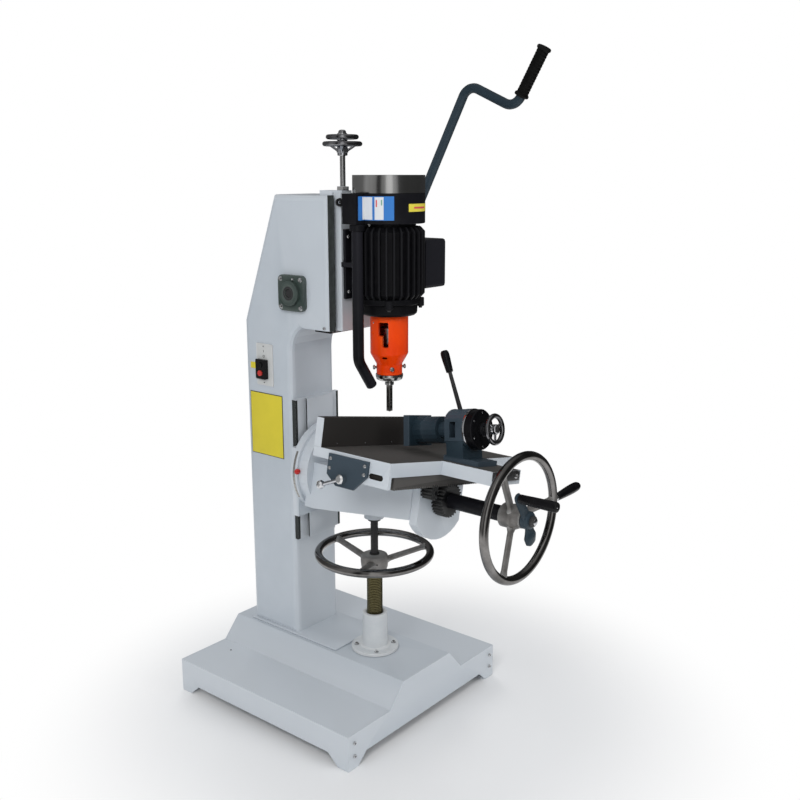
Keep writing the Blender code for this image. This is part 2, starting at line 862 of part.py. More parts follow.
def make_base(machine):
    half_depth = BASE_DEPTH / 2
    inner_end = half_depth - BASE_SHEET - CLEARANCE
    shell = prism("Y", base_outline(0, 0), -inner_end, inner_end)
    cut(shell, prism("Y", base_outline(BASE_SHEET, -OVERRUN), -half_depth - OVERRUN, half_depth + OVERRUN))
    reach = BASE_WIDTH / 2 + OVERRUN
    cut(shell, prism("X", foot_cut(half_depth, FOOT_LENGTH), -reach, reach))
    wall = BASE_WIDTH / 2 - BASE_SHEET / 2
    for side in (-1, 1):
        for end in (-1, 1):
            x = sorted((side * wall, side * (wall - LUG_SIZE)))
            y = sorted((end * inner_end, end * (inner_end - FOOT_LENGTH + BASE_SHEET)))
            join(shell, block(x, y, (0, LUG_THICKNESS)))
            hole = ((x[0] + x[1]) / 2, (y[0] + y[1]) / 2)
            cut(shell, rod("Z", hole, LUG_HOLE_RADIUS, -OVERRUN, LUG_THICKNESS + OVERRUN, TINY_ROUND))
    low, high = PLINTH_HEIGHT - BASE_SHEET - OVERRUN, PLINTH_HEIGHT + OVERRUN
    middle = (COLUMN_FRONT + COLUMN_BACK) / 2
    hole_y = (middle - CABLE_HOLE_HALF, middle + CABLE_HOLE_HALF)
    cut(shell, block((-CABLE_HOLE_HALF, CABLE_HOLE_HALF), hole_y, (low, high)))
    cut(shell, rod("Z", (0, LIFT_AXIS_Y), LIFT_SCREW_RADIUS + OVERRUN, low, high, SMALL_ROUND))
    node("base_shell", PAINT_GREY, shell, machine)
    for name, outer in (("base_front_plate", -half_depth), ("base_rear_plate", half_depth)):
        inner = math.copysign(half_depth - BASE_SHEET, outer)
        plate = prism("Y", base_outline(0, 0), outer, inner)
        low, high = sorted((outer, inner))
        notch = foot_cut(BASE_WIDTH / 2, FOOT_LENGTH)
        cut(plate, prism("Y", notch, low - OVERRUN, high + OVERRUN))
        node(name, PAINT_GREY, plate, machine)


# The column and what is fixed to it

def make_column(machine):
    foot = PLINTH_HEIGHT + CLEARANCE
    fillet_width = COLUMN_FRONT - HEAD_FILLET_START
    fillet_height = HEAD_UNDERSIDE - HEAD_FILLET_FOOT
    fillet = [
        (
            HEAD_FILLET_START + fillet_width * math.sin(math.pi / 2 * i / FILLET_STEPS),
            HEAD_FILLET_FOOT + fillet_height * math.cos(math.pi / 2 * i / FILLET_STEPS),
        )
        for i in range(FILLET_STEPS + 1)
    ]
    outline = [
        (COLUMN_BACK, foot),
        (COLUMN_BACK, COLUMN_TAPER_START),
        (COLUMN_TOP_BACK, COLUMN_TOP),
        (HEAD_FRONT, COLUMN_TOP),
        (HEAD_FRONT, HEAD_UNDERSIDE),
        *fillet,
        (COLUMN_FRONT, foot),
    ]
    column = prism("X", outline, -COLUMN_HALF, COLUMN_HALF)

    def on_side(middle, direction):
        return abs(direction.x) < 0.5 and middle.z > foot and middle.y > HEAD_FRONT and (
            middle.z < COLUMN_TOP
        ) and abs(middle.z - HEAD_UNDERSIDE) > CLEARANCE

    soften(column, COLUMN_CORNER, on_side)
    hollow = block(
        (-COLUMN_HALF + COLUMN_WALL, COLUMN_HALF - COLUMN_WALL),
        (COLUMN_FRONT + COLUMN_WALL, COLUMN_BACK - COLUMN_WALL),
        (foot - OVERRUN, COLUMN_HOLLOW_TOP),
    )
    cut(column, hollow)
    pocket_radius = FEED_MODULE * (FEED_TEETH / 2 + TOOTH_TIP_SHARE) + FEED_POCKET_MARGIN
    pocket_half = FEED_GEAR_WIDTH / 2 + FEED_POCKET_MARGIN
    axis = (FEED_AXIS_Y, FEED_AXIS_Z)
    cut(column, rod("X", axis, pocket_radius, -pocket_half, pocket_half))
    slot_half = RACK_WIDTH / 2 + RACK_SLOT_MARGIN
    rack_back = rack_line() + FEED_MODULE + RACK_SLOT_MARGIN
    slot_top = FEED_AXIS_Z - RACK_BELOW_AXIS + RACK_LENGTH + RACK_SLOT_MARGIN
    cut(
        column,
        block((-slot_half, slot_half), (HEAD_FRONT - OVERRUN, rack_back), (HEAD_UNDERSIDE - OVERRUN, slot_top)),
    )
    reach = COLUMN_HALF + OVERRUN
    cut(column, rod("X", axis, FEED_SHAFT_RADIUS + RACK_SLOT_MARGIN, -reach, reach, SMALL_ROUND))
    node("column", PAINT_GREY, column, machine)


def rack_line():
    """Where the feed rack's pitch line lies."""
    return FEED_AXIS_Y - FEED_MODULE * FEED_TEETH / 2


def head_way_front():
    return HEAD_FRONT - CLEARANCE - HEAD_WAY_THICKNESS


def slide_front():
    return head_way_front() - CLEARANCE - SLIDE_THICKNESS


def make_head_way(machine):
    back = HEAD_FRONT - CLEARANCE
    front = head_way_front()
    outline = [
        (-COLUMN_HALF, back),
        (-COLUMN_HALF, front),
        (-HEAD_TAIL_NECK, front),
        (-HEAD_TAIL_FACE, front - HEAD_TAIL_DEPTH),
        (HEAD_TAIL_FACE, front - HEAD_TAIL_DEPTH),
        (HEAD_TAIL_NECK, front),
        (COLUMN_HALF, front),
        (COLUMN_HALF, back),
    ]
    way = prism("Z", outline, HEAD_UNDERSIDE, COLUMN_TOP)
    half = RACK_WIDTH / 2 + RACK_SLOT_MARGIN
    top = FEED_AXIS_Z - RACK_BELOW_AXIS + RACK_LENGTH + RACK_SLOT_MARGIN
    tip = front - HEAD_TAIL_DEPTH - OVERRUN
    cut(way, block((-half, half), (tip, back + OVERRUN), (HEAD_UNDERSIDE - OVERRUN, top)))
    node("head_way", IRON, way, machine)


def make_bearings(machine):
    for name, side in (("bearing_flange_left", -1), ("bearing_flange_right", 1)):
        wall = side * (COLUMN_HALF + CLEARANCE)
        face = wall + side * FLANGE_THICKNESS
        half = FLANGE_SIZE / 2
        axis = (FEED_AXIS_Y, FEED_AXIS_Z)
        square = [
            (axis[0] + a * half, axis[1] + b * half) for a, b in ((-1, -1), (1, -1), (1, 1), (-1, 1))
        ]
        flange = prism("X", square, wall, face)
        soften(flange, FLANGE_CORNER, lambda middle, direction: abs(direction.x) > 0.5)
        end = face + side * FLANGE_BOSS_LENGTH
        bore = bore_for(FEED_SHAFT_RADIUS)
        boss = turned(
            "X",
            axis,
            [
                (0, wall + side * FLANGE_THICKNESS / 2),
                (FLANGE_BOSS_RADIUS, wall + side * FLANGE_THICKNESS / 2),
                (FLANGE_BOSS_RADIUS, face),
                (FLANGE_BOSS_RADIUS - FLANGE_BOSS_LENGTH / 2, end),
                (0, end),
            ],
            SMALL_ROUND,
        )
        join(flange, boss)
        low, high = sorted((wall, end))
        cut(flange, rod("X", axis, bore, low - OVERRUN, high + OVERRUN, SMALL_ROUND))
        node(name, PAINT_GREEN, flange, machine)


def make_stop_bracket(machine):
    low = COLUMN_TOP + CLEARANCE
    raised = SLIDE_TOP + CLEARANCE
    top = raised + BRACKET_THICKNESS
    front = STOP_Y - BRACKET_FRONT_MARGIN
    outline = [
        (BRACKET_BACK, low),
        (BRACKET_BACK, top),
        (front, top),
        (front, raised),
        (HEAD_FRONT, raised),
        (HEAD_FRONT, low),
    ]
    bracket = prism("X", outline, STOP_X - BRACKET_HALF, STOP_X + BRACKET_HALF)
    spot = (STOP_X, STOP_Y)
    join(bracket, rod("Z", spot, GUIDE_RADIUS, raised + BRACKET_THICKNESS / 2, guide_top(), 6))
    cut(bracket, rod("Z", spot, bore_for(STOP_ROD_RADIUS), low - OVERRUN, guide_top() + OVERRUN, SMALL_ROUND))
    node("stop_bracket", STEEL, bracket, machine)


def guide_top():
    """The top of the bracket's guide, which the stop wheel meets at the end of the stroke."""
    return SLIDE_TOP + CLEARANCE + BRACKET_THICKNESS + GUIDE_HEIGHT


def make_switch(machine):
    wall = -COLUMN_HALF - CLEARANCE
    plate_face = wall - SWITCH_PLATE
    plate = block((plate_face, wall), (SWITCH_FRONT, SWITCH_BACK), (SWITCH_BOTTOM, SWITCH_TOP))
    soften(plate, SWITCH_PLATE, lambda middle, direction: abs(direction.x) > 0.5, 2)
    face = plate_face - BEZEL_DEPTH
    bezel = block((face, wall - SWITCH_PLATE / 2), (BEZEL_FRONT, BEZEL_BACK), (BEZEL_BOTTOM, BEZEL_TOP))
    soften(bezel, SWITCH_PLATE, lambda middle, direction: abs(direction.x) > 0.5, 2)
    join(plate, bezel)
    for name, height, spec in (("start_button", START_Z, PLASTIC_BLACK), ("stop_button", STOP_Z, PLASTIC_RED)):
        spot = (BUTTON_Y, height)
        cut(plate, rod("X", spot, bore_for(BUTTON_RADIUS), face - OVERRUN, wall + OVERRUN, SMALL_ROUND))
        outer = face - BUTTON_STAND
        edge = BUTTON_STAND / 5
        button = turned(
            "X",
            spot,
            [
                (0, outer),
                (BUTTON_RADIUS - edge, outer),
                (BUTTON_RADIUS, outer + edge),
                (BUTTON_RADIUS, face + BUTTON_DEPTH),
                (0, face + BUTTON_DEPTH),
            ],
            SMALL_ROUND,
        )
        node(name, spec, button, machine, (face, *spot))
    node("switch_plate", PLASTIC_WHITE, plate, machine)


# The head

def make_head_slide(machine):
    back = head_way_front() - CLEARANCE
    front = slide_front()
    groove = back - HEAD_TAIL_DEPTH - CLEARANCE
    outline = [
        (-SLIDE_HALF, back),
        (-SLIDE_HALF, front),
        (SLIDE_HALF, front),
        (SLIDE_HALF, back),
        (HEAD_TAIL_NECK + CLEARANCE, back),
        (HEAD_TAIL_FACE + CLEARANCE * 2, groove),
        (-HEAD_TAIL_FACE - CLEARANCE * 2, groove),
        (-HEAD_TAIL_NECK - CLEARANCE, back),
    ]
    slide = prism("Z", outline, SLIDE_BOTTOM, SLIDE_TOP)
    soften(
        slide,
        SLIDE_EDGE,
        lambda middle, direction: abs(direction.z) > 0.5 and middle.y < front + SLIDE_EDGE,
        2,
    )
    node("head_slide", PAINT_GREY, slide, machine)
    low = FEED_AXIS_Z - RACK_BELOW_AXIS
    high = low + RACK_LENGTH
    teeth = rack_teeth(FEED_MODULE, low, high, FEED_AXIS_Z, rack_line(), 1)
    root = rack_line() - FEED_MODULE * TOOTH_ROOT_SHARE
    outline = [(groove + CLEARANCE, low), (root, low), *[(y, z) for z, y in teeth]]
    outline += [(root, high), (groove + CLEARANCE, high)]
    rack = prism("X", outline, -RACK_WIDTH / 2, RACK_WIDTH / 2)
    node("feed_rack", STEEL, rack, machine)


def make_depth_stop(machine):
    spot = (STOP_X, STOP_Y)
    edge = STOP_ROD_RADIUS / 4
    post = turned(
        "Z",
        spot,
        [
            (0, SLIDE_TOP + CLEARANCE),
            (STOP_ROD_RADIUS, SLIDE_TOP + CLEARANCE),
            (STOP_ROD_RADIUS, STOP_ROD_TOP - edge),
            (STOP_ROD_RADIUS - edge, STOP_ROD_TOP),
            (0, STOP_ROD_TOP),
        ],
        SMALL_ROUND,
    )
    node("depth_stop_rod", STEEL, post, machine)
    bore = bore_for(STOP_ROD_RADIUS)
    low = guide_top() + HEAD_STROKE + STOP_MARGIN
    high = low + STOP_WHEEL_LENGTH
    wheel = dished_wheel(spot, bore, low, high, STOP_WHEEL_RADIUS, high - STOP_RIM_RADIUS, low + STOP_WHEEL_CONE)
    node("stop_wheel", CHROME, wheel, machine, (*spot, low))
    low = high + CLEARANCE
    high = low + LOCK_WHEEL_LENGTH
    wheel = dished_wheel(spot, bore, low, high, LOCK_WHEEL_RADIUS, low + LOCK_RIM_DROP, low + LOCK_RIM_DROP)
    node("stop_lock_wheel", CHROME, wheel, machine, (*spot, low))


def dished_wheel(spot, bore, low, high, radius, rim_height, web_height):
    """A small handwheel: a hub, a dished web and a round rim."""
    hub = STOP_WHEEL_HUB_RADIUS
    wheel = turned("Z", spot, [(bore, low), (hub, low), (hub, high), (bore, high)], SMALL_ROUND)
    inner = radius - STOP_RIM_RADIUS
    sunk = hub - WEB_THICKNESS / 2
    web = turned(
        "Z",
        spot,
        [
            (sunk, web_height - WEB_THICKNESS / 2),
            (inner, rim_height - WEB_THICKNESS / 2),
            (inner, rim_height + WEB_THICKNESS / 2),
            (sunk, web_height + WEB_THICKNESS / 2),
        ],
    )
    return join(wheel, web, rim("Z", spot, rim_height, radius, STOP_RIM_RADIUS))


def make_motor(machine):
    axis = (0, MOTOR_AXIS_Y)
    back = slide_front() - CLEARANCE
    plate = block(
        (-MOTOR_BRACKET_HALF, MOTOR_BRACKET_HALF),
        (back - MOTOR_BRACKET_PLATE, back),
        (MOTOR_BRACKET_BOTTOM, MOTOR_BRACKET_TOP),
    )
    middle = (MOTOR_BRACKET_BOTTOM + MOTOR_BRACKET_TOP) / 2
    web = block(
        (-MOTOR_WEB_HALF, MOTOR_WEB_HALF),
        (MOTOR_WEB_FRONT, back),
        (middle - MOTOR_WEB_THICKNESS / 2, middle + MOTOR_WEB_THICKNESS / 2),
    )
    join(plate, web)
    clear = MOTOR_RADIUS + CLEARANCE
    cut(plate, rod("Z", axis, clear, MOTOR_BRACKET_BOTTOM - OVERRUN, MOTOR_BRACKET_TOP + OVERRUN, ROUND * 2))
    node("motor_bracket", PAINT_BLACK, plate, machine)

    def fins(share):
        points = []
        for i in range(FIN_COUNT):
            middle = math.tau * i / FIN_COUNT
            pitch = math.tau / FIN_COUNT
            root_half = pitch * FIN_WIDTH_SHARE / 2
            tip_half = pitch * FIN_TIP_SHARE / 2
            for radius, angle in (
                (MOTOR_RADIUS - FIN_DEPTH, middle - root_half),
                (MOTOR_RADIUS, middle - tip_half),
                (MOTOR_RADIUS, middle + tip_half),
                (MOTOR_RADIUS - FIN_DEPTH, middle + root_half),
            ):
                points.append(polar(axis, radius * share, angle))
        return points

    sections = []
    for share, height in (
        (MOTOR_END_SHARE, MOTOR_BOTTOM),
        (1, MOTOR_BOTTOM + MOTOR_CHAMFER),
        (1, MOTOR_TOP - MOTOR_CHAMFER),
        (MOTOR_END_SHARE, MOTOR_TOP),
    ):
        sections.append([(x, y, height) for x, y in fins(share)])
    body = loft(sections)
    neck_top = BLOWER_BOTTOM - CLEARANCE
    join(body, rod("Z", axis, MOTOR_NECK_RADIUS, MOTOR_TOP - MOTOR_NECK_HEIGHT, neck_top))
    bore = bore_for(SPINDLE_RADIUS)
    cut(body, rod("Z", axis, bore, MOTOR_BOTTOM - OVERRUN, neck_top + OVERRUN, SMALL_ROUND))
    node("motor_body", PAINT_BLACK, body, machine)

    top = MOTOR_BOTTOM - CLEARANCE
    shoulder = top - BELL_FLANGE_HEIGHT
    bell = turned(
        "Z",
        axis,
        [
            (bore, BELL_BOTTOM),
            (BELL_RADIUS - BELL_FLANGE_HEIGHT / 2, BELL_BOTTOM),
            (BELL_RADIUS, BELL_BOTTOM + BELL_FLANGE_HEIGHT / 2),
            (BELL_RADIUS, shoulder),
            (BELL_FLANGE_RADIUS, shoulder),
            (BELL_FLANGE_RADIUS, top),
            (bore, top),
        ],
    )
    node("motor_end_bell", PAINT_BLACK, bell, machine)


def make_terminal_box(machine):
    y = (MOTOR_AXIS_Y - TERMINAL_WIDTH / 2, MOTOR_AXIS_Y + TERMINAL_WIDTH / 2)
    z = (TERMINAL_BOTTOM, TERMINAL_TOP)
    inner_x = MOTOR_WEB_HALF + CLEARANCE * 4
    face = TERMINAL_LID_X - CLEARANCE
    box = block((inner_x, face), y, z)
    soften(box, TERMINAL_CORNER, lambda middle, direction: abs(direction.x) > 0.5, 2)
    hollow = block(
        (TERMINAL_REACH + FIN_DEPTH * 2, face + OVERRUN),
        (y[0] + TERMINAL_WALL, y[1] - TERMINAL_WALL),
        (z[0] + TERMINAL_WALL, z[1] - TERMINAL_WALL),
    )
    cut(box, hollow)
    clear = MOTOR_RADIUS + CLEARANCE
    cut(box, rod("Z", (0, MOTOR_AXIS_Y), clear, z[0] - OVERRUN, z[1] + OVERRUN, ROUND * 2))
    node("terminal_box", PAINT_BLACK, box, machine)
    lid = block((TERMINAL_LID_X, TERMINAL_LID_X + TERMINAL_LID_THICKNESS), y, z)
    soften(lid, TERMINAL_CORNER, lambda middle, direction: abs(direction.x) > 0.5, 2)
    node("terminal_lid", PAINT_BLACK, lid, machine)


def make_blower(machine):
    axis = (0, MOTOR_AXIS_Y)
    bore = bore_for(SPINDLE_RADIUS)
    floor = BLOWER_BOTTOM + BLOWER_WALL
    inner = BLOWER_RADIUS - BLOWER_WALL
    housing = rod("Z", axis, BLOWER_RADIUS, BLOWER_BOTTOM, BLOWER_TOP)
    outlet_y = (PIPE_Y - OUTLET_HALF, PIPE_Y + OUTLET_HALF)
    outlet = block((OUTLET_LEFT, -BLOWER_RADIUS * OUTLET_SHARE), outlet_y, (BLOWER_BOTTOM, BLOWER_TOP))
    soften(outlet, SLIDE_EDGE * 2, lambda middle, direction: abs(direction.z) > 0.5 and middle.x < -BLOWER_RADIUS, 2)
    join(housing, outlet)
    cut(housing, rod("Z", axis, inner, floor, BLOWER_TOP + OVERRUN))
    duct_roof = BLOWER_TOP - BLOWER_WALL
    duct = block(
        (PIPE_X - PIPE_BORE, -inner * OUTLET_SHARE),
        (PIPE_Y - PIPE_BORE, PIPE_Y + PIPE_BORE),
        (floor, duct_roof),
    )
    cut(housing, duct)
    cut(housing, rod("Z", (PIPE_X, PIPE_Y), PIPE_BORE, BLOWER_BOTTOM - OVERRUN, floor + OVERRUN, SMALL_ROUND))
    cut(housing, rod("Z", axis, bore, BLOWER_BOTTOM - OVERRUN, floor + OVERRUN, SMALL_ROUND))
    node("blower_housing", PAINT_BLACK, housing, machine)

    low = BLOWER_TOP + CLEARANCE
    cap = turned(
        "Z",
        axis,
        [
            (INLET_RADIUS, low),
            (BLOWER_RADIUS, low),
            (BLOWER_RADIUS, CAP_TOP),
            (BLOWER_RADIUS - CAP_WALL, CAP_TOP),
            (BLOWER_RADIUS - CAP_WALL, low + CAP_WALL),
            (INLET_RADIUS, low + CAP_WALL),
        ],
        ROUND * 3 // 2,
    )
    node("blower_cap", STEEL, cap, machine)

    base = floor + IMPELLER_LIFT
    impeller = rod("Z", axis, IMPELLER_RADIUS, base, base + IMPELLER_DISC)
    points = []
    for i in range(BLADE_COUNT):
        middle = math.tau * i / BLADE_COUNT
        for radius in (IMPELLER_HUB_RADIUS, IMPELLER_RADIUS):
            half = BLADE_THICKNESS / 2 / radius
            points.append((radius, middle - half, middle + half))
    outline = []
    for inner_edge, outer_edge in zip(points[::2], points[1::2]):
        outline.append(polar(axis, inner_edge[0], inner_edge[1]))
        outline.append(polar(axis, outer_edge[0], outer_edge[1]))
        outline.append(polar(axis, outer_edge[0], outer_edge[2]))
        outline.append(polar(axis, inner_edge[0], inner_edge[2]))
    join(impeller, prism("Z", outline, base + IMPELLER_DISC / 2, base + IMPELLER_HEIGHT))
    cut(impeller, rod("Z", axis, bore, base - OVERRUN, base + IMPELLER_HEIGHT + OVERRUN, SMALL_ROUND))
    node("blower_impeller", STEEL, impeller, machine, (*axis, base))

    pipe_top = BLOWER_BOTTOM - CLEARANCE
    corners = [
        (PIPE_X, PIPE_Y, pipe_top),
        (PIPE_X, PIPE_Y, PIPE_BEND_HEIGHT),
        (PIPE_END_X, PIPE_Y, PIPE_END_Z),
    ]
    path = bent(corners, PIPE_BEND_RADIUS)
    pipe = tube(path, PIPE_RADIUS)
    first = Vector((0, 0, OVERRUN))
    last = (path[-1] - path[-2]).normalized() * OVERRUN
    cut(pipe, tube([path[0] + first, *path[1:-1], path[-1] + last], PIPE_BORE))
    node("air_pipe", PAINT_BLACK, pipe, machine)


def make_chisel(machine):
    axis = (0, MOTOR_AXIS_Y)
    top = BELL_BOTTOM - CLEARANCE
    neck_bore = SHANK_RADIUS + OVERRUN * 4 / 5
    housing = turned(
        "Z",
        axis,
        [
            (HOUSING_BORE, top),
            (HOUSING_BORE, HOUSING_BORE_FLOOR),
            (neck_bore, HOUSING_BORE_FLOOR),
            (neck_bore, HOUSING_BOTTOM),
            (HOUSING_NECK_RADIUS, HOUSING_BOTTOM),
            (HOUSING_NECK_RADIUS, HOUSING_TAPER_BOTTOM),
            (HOUSING_RADIUS, HOUSING_TAPER_TOP),
            (HOUSING_RADIUS, top),
        ],
    )
    reach = HOUSING_RADIUS + OVERRUN
    window = block((0, reach), (-WINDOW_WIDTH / 2, WINDOW_WIDTH / 2), (WINDOW_BOTTOM, WINDOW_TOP))
    turn_shape(window, WINDOW_TURN, "Z")
    window.data.transform(Matrix.Translation((*axis, 0)))
    cut(housing, window)
    node("chisel_housing", PAINT_ORANGE, housing, machine)

    collar_top = HOUSING_BOTTOM - CLEARANCE
    collar_bottom = collar_top - COLLAR_HEIGHT
    bore = bore_for(SHANK_RADIUS)
    collar = turned(
        "Z",
        axis,
        [
            (bore, collar_top),
            (bore, BUSH_BOTTOM),
            (BUSH_RADIUS, BUSH_BOTTOM),
            (BUSH_RADIUS, collar_bottom),
            (COLLAR_RADIUS, collar_bottom),
            (COLLAR_RADIUS, collar_top),
        ],
    )
    node("chisel_collar", STEEL, collar, machine)

    chisel_top = BUSH_BOTTOM - CLEARANCE
    half = CHISEL_SIDE / 2
    chisel = block((-half, half), (MOTOR_AXIS_Y - half, MOTOR_AXIS_Y + half), (CHISEL_TIP, chisel_top))
    join(chisel, rod("Z", axis, SHANK_RADIUS, chisel_top - OVERRUN, chisel_top + SHANK_LENGTH, SMALL_ROUND))
    inner = bore_for(AUGER_RADIUS)
    corner = CHISEL_SIDE * math.sqrt(2) / 2
    slope = (corner - inner) / CHISEL_TIP_HEIGHT
    cone = turned(
        "Z",
        axis,
        [
            (0, CHISEL_TIP - OVERRUN),
            (corner + slope * OVERRUN, CHISEL_TIP - OVERRUN),
            (inner, CHISEL_TIP + CHISEL_TIP_HEIGHT),
            (inner, chisel_top + SHANK_LENGTH + OVERRUN),
            (0, chisel_top + SHANK_LENGTH + OVERRUN),
        ],
        SMALL_ROUND,
    )
    cut(chisel, cone)
    slot_half = CHIP_SLOT_WIDTH / 2
    slot = block(
        (-half - OVERRUN, 0),
        (MOTOR_AXIS_Y - slot_half, MOTOR_AXIS_Y + slot_half),
        (CHIP_SLOT_BOTTOM, CHIP_SLOT_TOP),
    )
    cut(chisel, slot)
    node("hollow_chisel", STEEL, chisel, machine)

    spindle_top = BLOWER_TOP - SPINDLE_TOP_DROP
    grip_bore = bore_for(AUGER_RADIUS)
    grip_top = CHUCK_BOTTOM + AUGER_GRIP
    chuck = turned(
        "Z",
        axis,
        [
            (0, spindle_top),
            (0, grip_top),
            (grip_bore, grip_top),
            (grip_bore, CHUCK_BOTTOM),
            (CHUCK_NOSE_RADIUS, CHUCK_BOTTOM),
            (CHUCK_RADIUS, CHUCK_SHOULDER),
            (CHUCK_RADIUS, CHUCK_TOP),
            (SPINDLE_RADIUS, CHUCK_TOP),
            (SPINDLE_RADIUS, spindle_top),
        ],
        SMALL_ROUND,
    )
    node("spindle_chuck", STEEL, chuck, machine, (*axis, CHUCK_BOTTOM))
    auger = turned(
        "Z",
        axis,
        [
            (0, grip_top - CLEARANCE),
            (0, CHISEL_TIP - AUGER_POINT / 2),
            (AUGER_RADIUS, CHISEL_TIP + AUGER_POINT / 2),
            (AUGER_RADIUS, grip_top - CLEARANCE),
        ],
        SMALL_ROUND,
    )
    node("auger_bit", STEEL, auger, machine, (*axis, CHUCK_BOTTOM))


# The feed lever and its shaft

def make_feed(machine):
    axis = (FEED_AXIS_Y, FEED_AXIS_Z)
    half = FEED_GEAR_WIDTH / 2
    hub_low = LEVER_X - LEVER_HUB_WIDTH / 2
    hub_high = LEVER_X + LEVER_HUB_WIDTH / 2
    shaft_right = hub_high - CLEARANCE
    shaft = rod("X", axis, FEED_SHAFT_RADIUS, FEED_SHAFT_LEFT, shaft_right, SMALL_ROUND)
    join(shaft, gear("X", axis, FEED_MODULE, FEED_TEETH, -half, half, math.pi))
    node("pinion_shaft", STEEL, shaft, machine, (0, *axis))

    direction = (math.cos(LEVER_LEAN), math.sin(LEVER_LEAN))
    foot = (axis[0] - direction[1] * LEVER_OFFSET, axis[1] + direction[0] * LEVER_OFFSET)
    start = (foot[0] - direction[0] * LEVER_TAIL, foot[1] - direction[1] * LEVER_TAIL)
    first = (foot[0] + direction[0] * LEVER_RISE, foot[1] + direction[1] * LEVER_RISE)
    second = polar(first, LEVER_MIDDLE_LENGTH, LEVER_MIDDLE_TURN)
    end = polar(second, LEVER_END_LENGTH, LEVER_END_TURN)
    path = bent([(LEVER_X, *spot) for spot in (start, first, second, end)], LEVER_BEND_RADIUS)
    lever = tube(path, LEVER_TUBE_RADIUS)
    clamp = hull_outline(axis, LEVER_HUB_RADIUS, foot, LEVER_CLAMP_RADIUS, SMALL_ROUND)
    join(lever, prism("X", clamp, hub_low, hub_high))
    bore = bore_for(FEED_SHAFT_RADIUS)
    cut(lever, rod("X", axis, bore, hub_low - OVERRUN, hub_high + OVERRUN, SMALL_ROUND))
    node("feed_lever", PAINT_BLUE, lever, machine, (LEVER_X, *axis))
    sleeve = grip(
        GRIP_LENGTH, bore_for(LEVER_TUBE_RADIUS), GRIP_RADIUS, GRIP_END_RADIUS, GRIP_END_LENGTH
    )
    heading = (0, math.cos(LEVER_END_TURN), math.sin(LEVER_END_TURN))
    back = GRIP_LENGTH - GRIP_END_LENGTH - CLEARANCE
    begin = (LEVER_X, end[0] - heading[1] * back, end[1] - heading[2] * back)
    point_along(sleeve, begin, heading)
    node("lever_grip", RUBBER, sleeve, machine, (LEVER_X, *axis))


def hull_outline(first, first_radius, second, second_radius, sides):
    """The outline round two circles, like the side of a link."""
    gap = math.dist(first, second)
    heading = math.atan2(second[1] - first[1], second[0] - first[0])
    spread = math.acos((first_radius - second_radius) / gap)
    points = []
    for i in range(sides + 1):
        angle = heading + spread + (math.tau - 2 * spread) * i / sides
        points.append(polar(first, first_radius, angle))
    for i in range(sides + 1):
        angle = heading - spread + 2 * spread * i / sides
        points.append(polar(second, second_radius, angle))
    return points


# The knee and its lift screw

def knee_way_front():
    return COLUMN_FRONT - CLEARANCE - KNEE_WAY_THICKNESS


